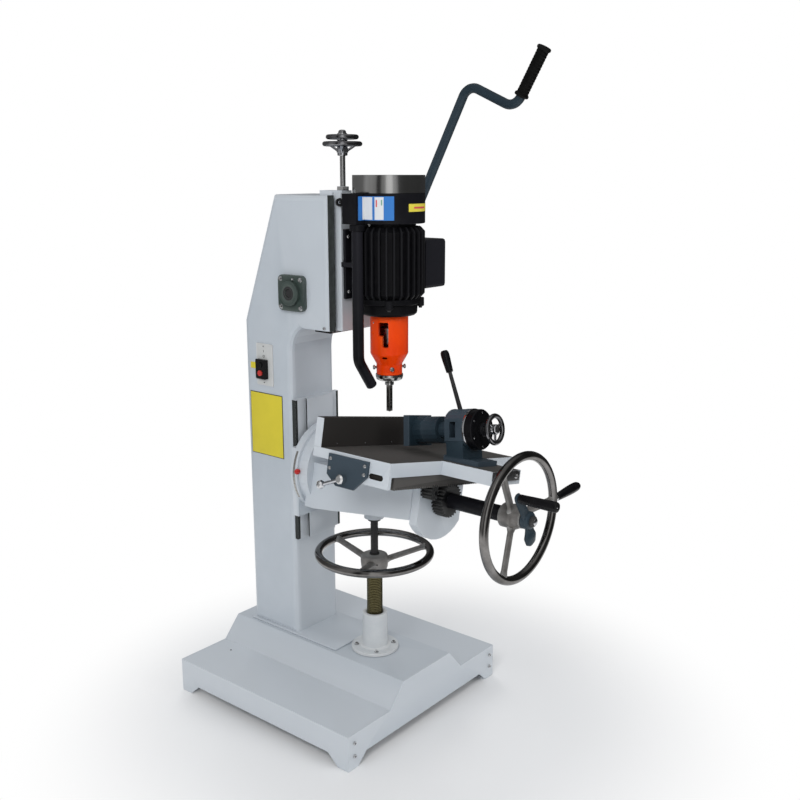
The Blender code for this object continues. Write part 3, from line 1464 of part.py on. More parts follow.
def make_knee(machine):
    back = COLUMN_FRONT - CLEARANCE
    front = knee_way_front()
    tip = front - KNEE_TAIL_DEPTH
    outline = [
        (-COLUMN_HALF, back),
        (-COLUMN_HALF, front),
        (-KNEE_TAIL_NECK, front),
        (-KNEE_TAIL_FACE, tip),
        (KNEE_TAIL_FACE, tip),
        (KNEE_TAIL_NECK, front),
        (COLUMN_HALF, front),
        (COLUMN_HALF, back),
    ]
    way = prism("Z", outline, KNEE_WAY_BOTTOM, KNEE_WAY_TOP)
    node("knee_way", IRON, way, machine)

    rear = front - CLEARANCE
    groove = tip - CLEARANCE
    outline = [
        (-SADDLE_HALF, rear),
        (-SADDLE_HALF, SADDLE_FRONT),
        (SADDLE_HALF, SADDLE_FRONT),
        (SADDLE_HALF, rear),
        (KNEE_TAIL_NECK + CLEARANCE, rear),
        (KNEE_TAIL_FACE + CLEARANCE * 2, groove),
        (-KNEE_TAIL_FACE - CLEARANCE * 2, groove),
        (-KNEE_TAIL_NECK - CLEARANCE, rear),
    ]
    saddle = prism("Z", outline, SADDLE_BOTTOM, SADDLE_TOP)
    pivot = (0, PIVOT_HEIGHT)
    depth = SADDLE_FRONT + (groove - SADDLE_FRONT) / 4
    join(saddle, rod("Y", pivot, SADDLE_DISC_RADIUS, SADDLE_DISC_FRONT, depth, ROUND * 3 // 2))
    middle = (SADDLE_FRONT + SADDLE_DISC_FRONT) / 2
    join(saddle, rod("Y", pivot, PIVOT_PIN_RADIUS, PIVOT_PIN_END, middle, SMALL_ROUND))
    join(saddle, block((-NOSE_HALF, NOSE_HALF), (NOSE_FRONT, middle), (NOSE_BOTTOM, NOSE_TOP)))
    lift = (0, LIFT_AXIS_Y)
    boss_top = NOSE_TOP - (NOSE_TOP - NOSE_BOTTOM) / 4
    join(saddle, rod("Z", lift, NOSE_BOSS_RADIUS, NOSE_BOSS_BOTTOM, boss_top, SMALL_ROUND * 3 // 2))
    bore = bore_for(LIFT_STEM_RADIUS)
    cut(saddle, rod("Z", lift, bore, NOSE_BOSS_BOTTOM - OVERRUN, LIFT_STEM_TOP + CLEARANCE, SMALL_ROUND))
    node("knee_saddle", PAINT_GREY, saddle, machine)

    bore = bore_for(LIFT_SCREW_RADIUS)
    low = PLINTH_HEIGHT + CLEARANCE
    step = low + PEDESTAL_FLANGE_HEIGHT
    pedestal = turned(
        "Z",
        lift,
        [
            (bore, low),
            (PEDESTAL_FLANGE_RADIUS, low),
            (PEDESTAL_FLANGE_RADIUS, step),
            (PEDESTAL_RADIUS, step),
            (PEDESTAL_RADIUS, PEDESTAL_TOP - PEDESTAL_LIP),
            (PEDESTAL_RADIUS - PEDESTAL_LIP, PEDESTAL_TOP),
            (bore, PEDESTAL_TOP),
        ],
    )
    node("screw_pedestal", PAINT_GREY, pedestal, machine)

    hub_top = LIFT_HUB_TOP
    collar_top = NOSE_BOSS_BOTTOM - CLEARANCE
    collar_low = collar_top - LIFT_COLLAR_HEIGHT
    journal_top = hub_top - CLEARANCE
    screw = turned(
        "Z",
        lift,
        [
            (0, LIFT_SCREW_BOTTOM),
            (LIFT_SCREW_RADIUS, LIFT_SCREW_BOTTOM),
            (LIFT_SCREW_RADIUS, LIFT_SCREW_TOP),
            (LIFT_JOURNAL_RADIUS, LIFT_SCREW_TOP),
            (LIFT_JOURNAL_RADIUS, journal_top),
            (LIFT_STEM_RADIUS, journal_top),
            (LIFT_STEM_RADIUS, collar_low),
            (LIFT_COLLAR_RADIUS, collar_low),
            (LIFT_COLLAR_RADIUS, collar_top),
            (LIFT_STEM_RADIUS, collar_top),
            (LIFT_STEM_RADIUS, LIFT_STEM_TOP),
            (0, LIFT_STEM_TOP),
        ],
        SMALL_ROUND * 3 // 2,
    )
    node("lift_screw", BRASS, screw, machine, (*lift, LIFT_RIM_HEIGHT))

    hub_low = LIFT_SCREW_TOP + CLEARANCE
    hub_bore = bore_for(LIFT_JOURNAL_RADIUS)
    edge = PEDESTAL_LIP
    wheel = turned(
        "Z",
        lift,
        [
            (hub_bore, hub_low),
            (LIFT_HUB_RADIUS - edge, hub_low),
            (LIFT_HUB_RADIUS, hub_low + edge),
            (LIFT_HUB_RADIUS, hub_top - edge),
            (LIFT_HUB_RADIUS - edge, hub_top),
            (hub_bore, hub_top),
        ],
        SMALL_ROUND * 3 // 2,
    )
    wheel_rim = rim("Z", lift, LIFT_RIM_HEIGHT, LIFT_WHEEL_RADIUS, LIFT_RIM_RADIUS)
    spoke_start = LIFT_HUB_RADIUS - SPOKE_SINK
    spoke_end = LIFT_WHEEL_RADIUS - LIFT_RIM_RADIUS - SPOKE_SINK
    start_depth = (hub_low + hub_top) / 2
    bars = spokes("Z", lift, spoke_start, spoke_end, start_depth, LIFT_RIM_HEIGHT, SPOKE_RADIUS, LIFT_SPOKE_TURN)
    join(wheel, wheel_rim, *bars)
    node("lift_handwheel", CHROME, wheel, machine, (*lift, LIFT_RIM_HEIGHT))


# The arm and the table drive

def make_arm(tilt):
    side = [
        (ARM_REAR, ARM_TOP),
        (ARM_FRONT, ARM_TOP),
        (ARM_FRONT, ARM_FRONT_BOTTOM),
        (-ARM_REAR_WALL + ARM_REAR, ARM_REAR_BOTTOM),
        (ARM_REAR, ARM_REAR_BOTTOM),
    ]
    arm = prism("X", side, -ARM_HALF, ARM_HALF)
    disc_rear = SADDLE_DISC_FRONT - CLEARANCE
    disc_front = ARM_REAR - ARM_REAR_WALL / 2
    join(arm, rod("Y", (0, 0), ARM_DISC_RADIUS, disc_front, disc_rear, ROUND * 3 // 2))
    bottom = -ARM_DISC_RADIUS - OVERRUN
    wall_front = ARM_REAR - ARM_REAR_WALL
    inner = ARM_HALF - ARM_WALL
    cut(
        arm,
        block((-inner, inner), (ARM_FRONT - OVERRUN, wall_front), (bottom, ARM_TOP - ARM_DECK)),
        block((-WINDOW_HALF, WINDOW_HALF), (wall_front - OVERRUN, disc_rear + OVERRUN), (bottom, WINDOW_ROOF)),
        rod("Y", (0, 0), bore_for(PIVOT_PIN_RADIUS), wall_front - OVERRUN, disc_rear + OVERRUN, SMALL_ROUND),
    )
    sunk = ARM_TOP - ARM_DECK / 4
    tail = dovetail(ARM_TAIL_NECK, ARM_TAIL_FACE, ARM_TOP, ARM_TOP + ARM_TAIL_DEPTH)
    tail = [tail[0], (-ARM_TAIL_NECK, sunk), (ARM_TAIL_NECK, sunk), *tail[1:]]
    join(arm, prism("Y", tail, ARM_TAIL_FRONT, ARM_TAIL_REAR))
    slot_half = NUT_HALF + NUT_SLOT_MARGIN
    slot_y = (NUT_FRONT - CROSS_TRAVEL_MARGIN, NUT_REAR + CROSS_TRAVEL + CROSS_TRAVEL_MARGIN)
    slot_z = (ARM_TOP - ARM_DECK - OVERRUN, ARM_TOP + ARM_TAIL_DEPTH + OVERRUN)
    cut(arm, block((-slot_half, slot_half), slot_y, slot_z))
    node("knee_arm", PAINT_GREY, arm, tilt)

    rear = ARM_FRONT - CLEARANCE
    front = rear - END_PLATE_THICKNESS
    edge = math.asin(END_PLATE_HALF / END_PLATE_RADIUS)
    outline = [(END_PLATE_HALF, ARM_TOP)]
    for i in range(END_PLATE_ARC_STEPS + 1):
        angle = -math.pi / 2 + edge - 2 * edge * i / END_PLATE_ARC_STEPS
        outline.append(polar((0, 0), END_PLATE_RADIUS, angle))
    outline.append((-END_PLATE_HALF, ARM_TOP))
    plate = prism("Y", outline, front, rear)
    idler = (IDLER_X, idler_height())
    pin_end = front - GEAR_REAR_GAP - GEAR_WIDTH
    join(plate, rod("Y", idler, IDLER_PIN_RADIUS, pin_end, front + TABLE_EDGE, TINY_ROUND))
    shaft = (0, SHAFT_HEIGHT)
    cut(plate, rod("Y", shaft, bore_for(SLEEVE_RADIUS), front - OVERRUN, rear + OVERRUN))
    node("arm_end_plate", PAINT_GREY, plate, tilt)


def end_plate_front():
    return ARM_FRONT - CLEARANCE - END_PLATE_THICKNESS


def table_rack_line():
    """The table rack's pitch line, above the gear."""
    return SHAFT_HEIGHT + TABLE_MODULE * TABLE_GEAR_TEETH / 2


def idler_height():
    return table_rack_line() - TABLE_MODULE * IDLER_TEETH / 2 - TABLE_MODULE / 3


def make_table_drive(tilt):
    shaft = (0, SHAFT_HEIGHT)
    rear = end_plate_front() - GEAR_REAR_GAP
    front = rear - GEAR_WIDTH
    sleeve = rod("Y", shaft, SLEEVE_RADIUS, SLEEVE_FRONT, SLEEVE_REAR)
    join(sleeve, gear("Y", shaft, TABLE_MODULE, TABLE_GEAR_TEETH, front, rear, math.pi / 2))
    bore = bore_for(CRANK_SHAFT_RADIUS)
    cut(sleeve, rod("Y", shaft, bore, SLEEVE_FRONT - OVERRUN, SLEEVE_REAR + OVERRUN, SMALL_ROUND))
    node("table_gear_shaft", STEEL, sleeve, tilt, (0, TABLE_WHEEL_Y, SHAFT_HEIGHT))

    hub_rear = TABLE_WHEEL_Y + TABLE_WHEEL_HUB_LENGTH / 2
    hub_front = SLEEVE_FRONT - CLEARANCE
    hub_bore = bore_for(SLEEVE_RADIUS)
    edge = SLIDE_EDGE
    wheel = turned(
        "Y",
        shaft,
        [
            (hub_bore, hub_rear),
            (TABLE_WHEEL_HUB_RADIUS, hub_rear),
            (TABLE_WHEEL_HUB_RADIUS, hub_front + edge),
            (TABLE_WHEEL_HUB_RADIUS - edge, hub_front),
            (hub_bore, hub_front),
        ],
        SMALL_ROUND * 3 // 2,
    )
    spoke_start = TABLE_WHEEL_HUB_RADIUS - SPOKE_SINK
    spoke_end = TABLE_WHEEL_RADIUS - TABLE_RIM_RADIUS - SPOKE_SINK
    bars = spokes(
        "Y", shaft, spoke_start, spoke_end, TABLE_WHEEL_Y, TABLE_WHEEL_Y, SPOKE_RADIUS, TABLE_SPOKE_TURN
    )
    join(wheel, rim("Y", shaft, TABLE_WHEEL_Y, TABLE_WHEEL_RADIUS, TABLE_RIM_RADIUS), *bars)
    heading = (math.cos(TABLE_SPOKE_TURN), 0, math.sin(TABLE_SPOKE_TURN))
    grip_stop = WHEEL_GRIP_START_RADIUS + WHEEL_GRIP_LENGTH - GRIP_CAP - CLEARANCE
    pin_start = polar(shaft, TABLE_WHEEL_RADIUS - TABLE_RIM_RADIUS, TABLE_SPOKE_TURN)
    pin_end = polar(shaft, grip_stop, TABLE_SPOKE_TURN)
    pin = [along("Y", *pin_start, TABLE_WHEEL_Y), along("Y", *pin_end, TABLE_WHEEL_Y)]
    join(wheel, tube(pin, GRIP_PIN_RADIUS, TINY_ROUND))
    node("table_handwheel", CHROME, wheel, tilt, (0, TABLE_WHEEL_Y, SHAFT_HEIGHT))
    sleeve = handle(WHEEL_GRIP_LENGTH, WHEEL_GRIP_RADIUS)
    begin = along("Y", *polar(shaft, WHEEL_GRIP_START_RADIUS, TABLE_SPOKE_TURN), TABLE_WHEEL_Y)
    point_along(sleeve, begin, heading)
    node("wheel_grip", PLASTIC_BLACK, sleeve, tilt, begin)

    spot = (IDLER_X, idler_height())
    idler = gear("Y", spot, TABLE_MODULE, IDLER_TEETH, front, rear, math.pi / 2 + idler_phase())
    idler_bore = bore_for(IDLER_PIN_RADIUS)
    cut(idler, rod("Y", spot, idler_bore, front - OVERRUN, rear + OVERRUN, TINY_ROUND))
    node("idler_gear", STEEL, idler, tilt, (IDLER_X, rear, idler_height()))

    hub_back = SLEEVE_FRONT - CLEARANCE * 3
    hub_front = hub_back - CRANK_HUB_LENGTH
    nut_back = hub_front - CLEARANCE
    nut_front = nut_back - CRANK_NUT_LENGTH
    screw = turned(
        "Y",
        shaft,
        [
            (0, CROSS_SCREW_REAR),
            (CRANK_SHAFT_RADIUS, CROSS_SCREW_REAR),
            (CRANK_SHAFT_RADIUS, nut_back),
            (CRANK_NUT_RADIUS, nut_back),
            (CRANK_NUT_RADIUS, nut_front + CRANK_NUT_LENGTH / 2),
            (CRANK_NUT_RADIUS * 2 / 3, nut_front + CRANK_NUT_LENGTH / 6),
            (0, nut_front),
        ],
        SMALL_ROUND,
    )
    node("cross_screw", STEEL, screw, tilt, (0, hub_back, SHAFT_HEIGHT))

    crank = rod("Y", shaft, CRANK_HUB_RADIUS, hub_front, hub_back, SMALL_ROUND * 3 // 2)
    arm_back = hub_back - CRANK_ARM_SETBACK
    arm_front = arm_back - CRANK_ARM_THICKNESS
    grip_spot = polar(shaft, CRANK_REACH_LENGTH, CRANK_TURN)
    tail_spot = polar(shaft, CRANK_TAIL_LENGTH, CRANK_TURN + math.pi)
    long_side = hull_outline(shaft, CRANK_HUB_RADIUS - edge, grip_spot, CRANK_END_RADIUS, TINY_ROUND)
    short_side = hull_outline(shaft, CRANK_HUB_RADIUS - edge, tail_spot, CRANK_TAIL_RADIUS, TINY_ROUND)
    join(crank, prism("Y", long_side, arm_front, arm_back), prism("Y", short_side, arm_front, arm_back))
    cut(crank, rod("Y", shaft, bore, hub_front - OVERRUN, hub_back + OVERRUN, SMALL_ROUND))
    pin_end = CRANK_GRIP_END + GRIP_CAP + CLEARANCE
    join(crank, rod("Y", grip_spot, GRIP_PIN_RADIUS, pin_end, (arm_front + arm_back) / 2, TINY_ROUND))
    node("crank", PAINT_BLUE, crank, tilt, (0, hub_back, SHAFT_HEIGHT))
    grip_start = arm_front - CLEARANCE
    sleeve = handle(grip_start - CRANK_GRIP_END, CRANK_GRIP_RADIUS)
    begin = (grip_spot[0], grip_start, grip_spot[1])
    point_along(sleeve, begin, (0, -1, 0))
    node("crank_grip", PLASTIC_BLACK, sleeve, tilt, begin)


def handle(length, radius):
    """A barrel-shaped handle along +Z that runs on a pin, with a closed far end."""
    bore = bore_for(GRIP_PIN_RADIUS)
    return turned(
        "Z",
        (0, 0),
        [
            (bore, 0),
            (radius * 2 / 3, 0),
            (radius * 4 / 5, length / 8),
            (radius, length * 2 / 3),
            (radius * 9 / 10, length * 9 / 10),
            (radius / 2, length),
            (0, length),
            (0, length - GRIP_CAP),
            (bore, length - GRIP_CAP),
        ],
        SMALL_ROUND,
    )


def idler_phase():
    """The idler's turn that puts its top tooth in the middle of a rack gap."""
    pitch = math.pi * TABLE_MODULE
    steps = -IDLER_X / pitch
    offset = (steps - round(steps)) * pitch
    return -offset / (TABLE_MODULE * IDLER_TEETH / 2)


# The cross slide and the table

def make_table(tilt):
    low = ARM_TOP + CLEARANCE
    band_low = TABLE_TOP - TABLE_BAND
    plate_low = TABLE_TOP - TABLE_PLATE
    step = TABLE_BAND_REAR + CLEARANCE * 2
    outline = [
        (CROSS_REAR, low),
        (CROSS_REAR, plate_low - CLEARANCE),
        (step, plate_low - CLEARANCE),
        (step, band_low - CLEARANCE),
        (CROSS_FRONT, band_low - CLEARANCE),
        (CROSS_FRONT, low),
    ]
    slide = prism("X", outline, -CROSS_HALF, CROSS_HALF)
    tip = ARM_TOP + ARM_TAIL_DEPTH + CLEARANCE
    groove = dovetail(ARM_TAIL_NECK + CLEARANCE, ARM_TAIL_FACE + CLEARANCE * 2, low - CLEARANCE, tip)
    cut(slide, prism("Y", groove, CROSS_FRONT - OVERRUN, CROSS_REAR + OVERRUN))
    rail_root = plate_low
    rail_tip = plate_low - RAIL_DEPTH
    rail = [(RAIL_Y + a, b) for a, b in dovetail(RAIL_NECK, RAIL_FACE, rail_root, rail_tip)]
    channel = [
        (RAIL_Y + a, b)
        for a, b in dovetail(RAIL_NECK + CLEARANCE * 2, RAIL_FACE + CLEARANCE * 2, rail_root, rail_tip - CLEARANCE)
    ]
    cut(slide, prism("X", channel, -CROSS_HALF - OVERRUN, CROSS_HALF + OVERRUN))
    nut_top = tip + ARM_TAIL_DEPTH / 4
    join(slide, block((-NUT_HALF, NUT_HALF), (NUT_FRONT, NUT_REAR), (NUT_BOTTOM, nut_top)))
    bore = bore_for(CRANK_SHAFT_RADIUS)
    cut(slide, rod("Y", (0, SHAFT_HEIGHT), bore, NUT_FRONT - OVERRUN, NUT_REAR + OVERRUN, SMALL_ROUND))
    node("cross_slide", PAINT_GREY, slide, tilt)

    outline = [
        (TABLE_REAR, TABLE_TOP),
        (TABLE_FRONT, TABLE_TOP),
        (TABLE_FRONT, band_low),
        (TABLE_BAND_REAR, band_low),
        (TABLE_BAND_REAR, plate_low),
        rail[0],
        rail[3],
        rail[2],
        rail[1],
        (TABLE_REAR, plate_low),
    ]
    table = prism("X", outline, -TABLE_HALF, TABLE_HALF)
    sunk = TABLE_FRONT + TABLE_EDGE * 4
    join(table, block((-TONGUE_HALF, TONGUE_HALF), (TONGUE_FRONT, sunk), (band_low, TABLE_TOP)))
    for side in (-1, 1):
        x = sorted((side * TABLE_HALF, side * (TABLE_HALF - TABLE_FLANGE)))
        flange = block(x, (TABLE_FRONT, TABLE_FLANGE_REAR), (TABLE_FLANGE_BOTTOM, plate_low + TABLE_EDGE))
        join(table, flange)
    ends = [(FLANGE_SLOT_REAR - FLANGE_SLOT_RADIUS, FLANGE_SLOT_Z), (FLANGE_SLOT_FRONT + FLANGE_SLOT_RADIUS, FLANGE_SLOT_Z)]
    slot = hull_outline(ends[0], FLANGE_SLOT_RADIUS, ends[1], FLANGE_SLOT_RADIUS, 6)
    cut(table, prism("X", slot, -TABLE_HALF - OVERRUN, -TABLE_HALF + TABLE_FLANGE + OVERRUN))
    node("table", IRON, table, tilt)

    fence_low = TABLE_TOP + CLEARANCE
    y = (TABLE_REAR - FENCE_THICKNESS, TABLE_REAR)
    fence = block((-TABLE_HALF, TABLE_HALF), y, (fence_low, FENCE_TOP))
    soften(fence, TABLE_EDGE, lambda middle, direction: middle.z > FENCE_TOP - TABLE_EDGE, 1)
    node("fence", IRON, fence, tilt)

    line = table_rack_line()
    root = line + TABLE_MODULE * TOOTH_ROOT_SHARE
    top = band_low - CLEARANCE
    teeth = rack_teeth(TABLE_MODULE, -RACK_BAR_HALF, RACK_BAR_HALF, 0, line, -1)
    outline = [(-RACK_BAR_HALF, top), (-RACK_BAR_HALF, root), *teeth, (RACK_BAR_HALF, root), (RACK_BAR_HALF, top)]
    rack = prism("Y", outline, RACK_BAR_REAR - RACK_BAR_WIDTH, RACK_BAR_REAR)
    node("table_rack", STEEL, rack, tilt)

    outer = -TABLE_HALF - CLEARANCE
    outline = [
        (LOCK_PLATE_REAR, LOCK_PLATE_TOP),
        (LOCK_PLATE_FRONT, LOCK_PLATE_TOP),
        (LOCK_PLATE_FRONT, LOCK_PLATE_SHOULDER),
        (LOCK_PLATE_BOTTOM_FRONT, LOCK_PLATE_BOTTOM),
        (LOCK_PLATE_BOTTOM_REAR, LOCK_PLATE_BOTTOM),
        (LOCK_PLATE_REAR, LOCK_PLATE_REAR_HEIGHT),
    ]
    face = outer - LOCK_PLATE_THICKNESS
    plate = prism("X", outline, face, outer)
    soften(plate, TABLE_EDGE, lambda middle, direction: middle.x < face + TABLE_EDGE, 1)
    node("lock_plate", PAINT_BLUE, plate, tilt)
    axis = (LOCK_AXIS_Y, LOCK_AXIS_Z)
    hub_start = face - CLEARANCE
    hub_end = hub_start - LOCK_HUB_LENGTH
    lever = turned(
        "X",
        axis,
        [
            (0, hub_start),
            (LOCK_HUB_RADIUS, hub_start),
            (LOCK_HUB_RADIUS, hub_end + LOCK_HUB_LENGTH / 5),
            (LOCK_HUB_RADIUS * 2 / 3, hub_end),
            (0, hub_end),
        ],
        SMALL_ROUND,
    )
    arm_x = (hub_start + hub_end) / 2
    tip = polar(axis, LOCK_ARM_LENGTH, LOCK_ARM_TURN)
    join(lever, tube([(arm_x, *axis), (arm_x, *tip)], LOCK_ARM_RADIUS, 8), ball((arm_x, *tip), LOCK_BALL_RADIUS))
    node("lock_lever", CHROME, lever, tilt, (hub_start, *axis))


# The vise

def make_vise(tilt, vise):
    table_face = TABLE_TOP + CLEARANCE
    origin = (0, 0)

    def to_vise(points):
        """Outline points (y, z) of the tilt frame in the vise frame."""
        moved = []
        for y, z in points:
            spot = Matrix.Rotation(VISE_LEAN, 2) @ Vector((y - VISE_Y, z - VISE_Z))
            moved.append((spot.x, spot.y))
        return moved

    foot_top = table_face + FOOT_HEIGHT
    foot = to_vise(
        [
            (FOOT_REAR, table_face),
            (FOOT_REAR, foot_top),
            (PEDESTAL_NECK_REAR, foot_top),
            (PEDESTAL_NECK_REAR + FOOT_HEIGHT, VISE_Z),
            (PEDESTAL_NECK_FRONT + FOOT_HEIGHT, VISE_Z),
            (PEDESTAL_NECK_FRONT, foot_top),
            (FOOT_FRONT, foot_top),
            (FOOT_FRONT, table_face),
        ]
    )
    body = rod("Y", origin, BARREL_RADIUS, BARREL_FRONT, BARREL_REAR, ROUND)
    reach = BARREL_RADIUS + OVERRUN
    for side in (-1, 1):
        x = sorted((side * BARREL_HALF, side * reach))
        y = (BARREL_FRONT - OVERRUN, BARREL_REAR + OVERRUN)
        cut(body, block(x, y, (-reach, reach)))
    join(body, prism("X", foot, -BARREL_HALF + TABLE_EDGE, BARREL_HALF - TABLE_EDGE))
    slot_half = QUICK_ROOT_HALF + CLEARANCE
    slot_floor = QUICK_Z - QUICK_ROOT_RADIUS - CLEARANCE
    cut(
        body,
        rod("Y", origin, bore_for(RAM_RADIUS), -reach, reach, SMALL_ROUND * 3 // 2),
        block((-reach, reach), (SIDE_WINDOW_FRONT, SIDE_WINDOW_REAR), (-SIDE_WINDOW_HALF, SIDE_WINDOW_HALF)),
        block((-slot_half, slot_half), (QUICK_SLOT_FRONT, QUICK_SLOT_REAR), (slot_floor, reach)),
    )
    node("vise_body", PAINT_BLUE, body, vise)

    ring_start = BARREL_FRONT - CLEARANCE
    ring_end = ring_start - COVER_RING_LENGTH
    cover_end = ring_start - COVER_LENGTH
    boss_end = cover_end - COVER_BOSS_LENGTH
    bore = bore_for(VISE_SCREW_RADIUS)
    cover = turned(
        "Y",
        origin,
        [
            (bore, ring_start),
            (COVER_RING_RADIUS, ring_start),
            (COVER_RING_RADIUS, ring_end),
            (COVER_RADIUS, ring_end),
            (COVER_RADIUS, cover_end + SLIDE_EDGE),
            (COVER_RADIUS - SLIDE_EDGE, cover_end),
            (COVER_BOSS_RADIUS, cover_end),
            (COVER_BOSS_RADIUS - SLIDE_EDGE, boss_end),
            (bore, boss_end),
        ],
    )
    node("vise_cover", PAINT_BLACK, cover, vise)

    jaw = block((-JAW_HALF, JAW_HALF), (JAW_BACK, JAW_FACE), (JAW_BOTTOM, JAW_TOP))
    soften(jaw, TABLE_EDGE, lambda middle, direction: middle.y < JAW_BACK + TABLE_EDGE, 1)
    ram = turned(
        "Y",
        origin,
        [
            (0, JAW_BACK + SLIDE_EDGE),
            (JAW_TOP - SLIDE_EDGE, JAW_BACK + SLIDE_EDGE),
            (JAW_TOP - SLIDE_EDGE, JAW_COLLAR_FRONT),
            (RAM_BOSS_RADIUS - SLIDE_EDGE, JAW_COLLAR_FRONT - SLIDE_EDGE * 2),
            (RAM_BOSS_RADIUS - SLIDE_EDGE, RAM_BOSS_FRONT),
            (RAM_RADIUS, RAM_BOSS_FRONT),
            (RAM_RADIUS, RAM_FRONT),
            (bore, RAM_FRONT),
            (bore, RAM_BORE_END),
            (0, RAM_BORE_END),
        ],
        SMALL_ROUND * 3 // 2,
    )
    join(jaw, ram)
    node("vise_jaw", PAINT_BLUE, jaw, vise)

    hub_rear = VISE_WHEEL_Y + VISE_HUB_LENGTH / 2
    hub_front = hub_rear - VISE_HUB_LENGTH
    wheel = turned(
        "Y",
        origin,
        [
            (0, VISE_SCREW_REAR),
            (VISE_SCREW_RADIUS, VISE_SCREW_REAR),
            (VISE_SCREW_RADIUS, hub_rear),
            (VISE_HUB_RADIUS, hub_rear),
            (VISE_HUB_RADIUS, hub_front + SLIDE_EDGE),
            (VISE_HUB_RADIUS - SLIDE_EDGE, hub_front),
            (0, hub_front),
        ],
        SMALL_ROUND,
    )
    start = VISE_HUB_RADIUS - SPOKE_SINK
    end = VISE_WHEEL_RADIUS - VISE_RIM_RADIUS - SPOKE_SINK / 2
    bars = spokes("Y", origin, start, end, VISE_WHEEL_Y, VISE_WHEEL_Y, VISE_SPOKE_RADIUS, VISE_SPOKE_TURN)
    join(wheel, rim("Y", origin, VISE_WHEEL_Y, VISE_WHEEL_RADIUS, VISE_RIM_RADIUS), *bars)
    node("vise_handwheel", CHROME, wheel, vise, (0, VISE_WHEEL_Y, 0))

    pivot = (QUICK_Y, QUICK_Z)
    lever = rod("X", pivot, QUICK_ROOT_RADIUS, -QUICK_ROOT_HALF, QUICK_ROOT_HALF, SMALL_ROUND)
    heading = (0, math.sin(QUICK_LEAN), math.cos(QUICK_LEAN))
    foot_point = (0, *pivot)
    grip_start = tuple(a + b * QUICK_ROD_LENGTH for a, b in zip(foot_point, heading))
    join(lever, tube([foot_point, grip_start], QUICK_ROD_RADIUS, TINY_ROUND))
    knob = turned(
        "Z",
        origin,
        [
            (0, -SLIDE_EDGE),
            (QUICK_GRIP_RADIUS * QUICK_GRIP_SHARE, -SLIDE_EDGE),
            (QUICK_GRIP_RADIUS, QUICK_GRIP_LENGTH * QUICK_GRIP_SHARE),
            (QUICK_GRIP_RADIUS * QUICK_GRIP_SHARE, QUICK_GRIP_LENGTH),
            (0, QUICK_GRIP_LENGTH),
        ],
        SMALL_ROUND,
    )
    point_along(knob, grip_start, heading)
    join(lever, knob)
    node("quick_lever", PLASTIC_BLACK, lever, vise, foot_point)


def main():
    clear_scene()
    shift = -(BASE_DEPTH / 2 + CRANK_GRIP_END) / 2
    machine = frame("machine", at=(0, shift, 0))
    tilt = frame("tilt", machine, (0, 0, PIVOT_HEIGHT), (0, TILT, 0))
    vise = frame("vise", tilt, (0, VISE_Y, VISE_Z), (-VISE_LEAN, 0, 0))
    make_base(machine)
    make_column(machine)
    make_head_way(machine)
    make_bearings(machine)
    make_stop_bracket(machine)
    make_switch(machine)
    make_head_slide(machine)
    make_depth_stop(machine)
    make_motor(machine)
    make_terminal_box(machine)
    make_blower(machine)
    make_chisel(machine)
    make_feed(machine)
    make_knee(machine)
    make_arm(tilt)
    make_table_drive(tilt)
    make_table(tilt)
    make_vise(tilt, vise)


main()
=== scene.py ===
"""Looks of the floor-standing mortiser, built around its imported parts.

Lengths are metres. Machine places have the base's middle at the origin, the tilt places turn with the table,
and the vise places lean inside them.
"""

import math

import bpy
from mathutils import Matrix, Vector


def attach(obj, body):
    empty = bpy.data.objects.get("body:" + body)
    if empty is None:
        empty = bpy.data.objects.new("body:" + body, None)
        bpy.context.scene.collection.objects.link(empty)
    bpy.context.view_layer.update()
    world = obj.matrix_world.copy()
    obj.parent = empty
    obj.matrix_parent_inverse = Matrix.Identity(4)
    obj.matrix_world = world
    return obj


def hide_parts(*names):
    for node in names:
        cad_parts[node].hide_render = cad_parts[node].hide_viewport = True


SHIFT = 0.2095  # from the base's middle to the middle of the whole outline, along Y
TILT = math.radians(11.1)
PIVOT_HEIGHT = 0.670
VISE_LEAN = math.radians(9.43)
MOTOR_Y = -0.197
FEED_Y = 0.066
FEED_HEIGHT = 1.170
SMOOTH_BELOW = math.radians(35)

HERE = Matrix.Identity(4)
MACHINE = Matrix.Translation((0, SHIFT, 0))
TABLE = Matrix.Translation((0, SHIFT, PIVOT_HEIGHT)) @ Matrix.Rotation(TILT, 4, "Y")
VISE = TABLE @ Matrix.Translation((0, -0.400, 0.1736)) @ Matrix.Rotation(-VISE_LEAN, 4, "X")
MOTOR = MACHINE @ Matrix.Translation((0, MOTOR_Y, 0))
LIFT = MACHINE @ Matrix.Translation((0, -0.140, 0))
STOP = MACHINE @ Matrix.Translation((-0.050, -0.085, 0))
SHAFT = TABLE @ Matrix.Translation((0, 0, -0.012))

FRONT = (0, -1, 0)
LEFT = (-1, 0, 0)
RIGHT = (1, 0, 0)
DOWN = (0, 0, -1)


def deselect():
    bpy.ops.object.select_all(action="DESELECT")


def choose(item):
    deselect()
    item.select_set(True)
    bpy.context.view_layer.objects.active = item


def edit():
    bpy.ops.object.mode_set(mode="EDIT")


def stop_editing():
    bpy.ops.object.mode_set(mode="OBJECT")


def pick_faces(item, test):
    """Selects the faces whose middle and direction pass a test, and stays in edit mode."""
    choose(item)
    edit()
    bpy.ops.mesh.select_mode(type="FACE")
    bpy.ops.mesh.select_all(action="DESELECT")
    stop_editing()
    for face in item.data.polygons:
        face.select = test(face.center, face.normal)
    edit()


def face_outwards(item):
    choose(item)
    edit()
    bpy.ops.mesh.select_all(action="SELECT")
    bpy.ops.mesh.remove_doubles(threshold=0.000002)
    bpy.ops.mesh.normals_make_consistent(inside=False)
    stop_editing()


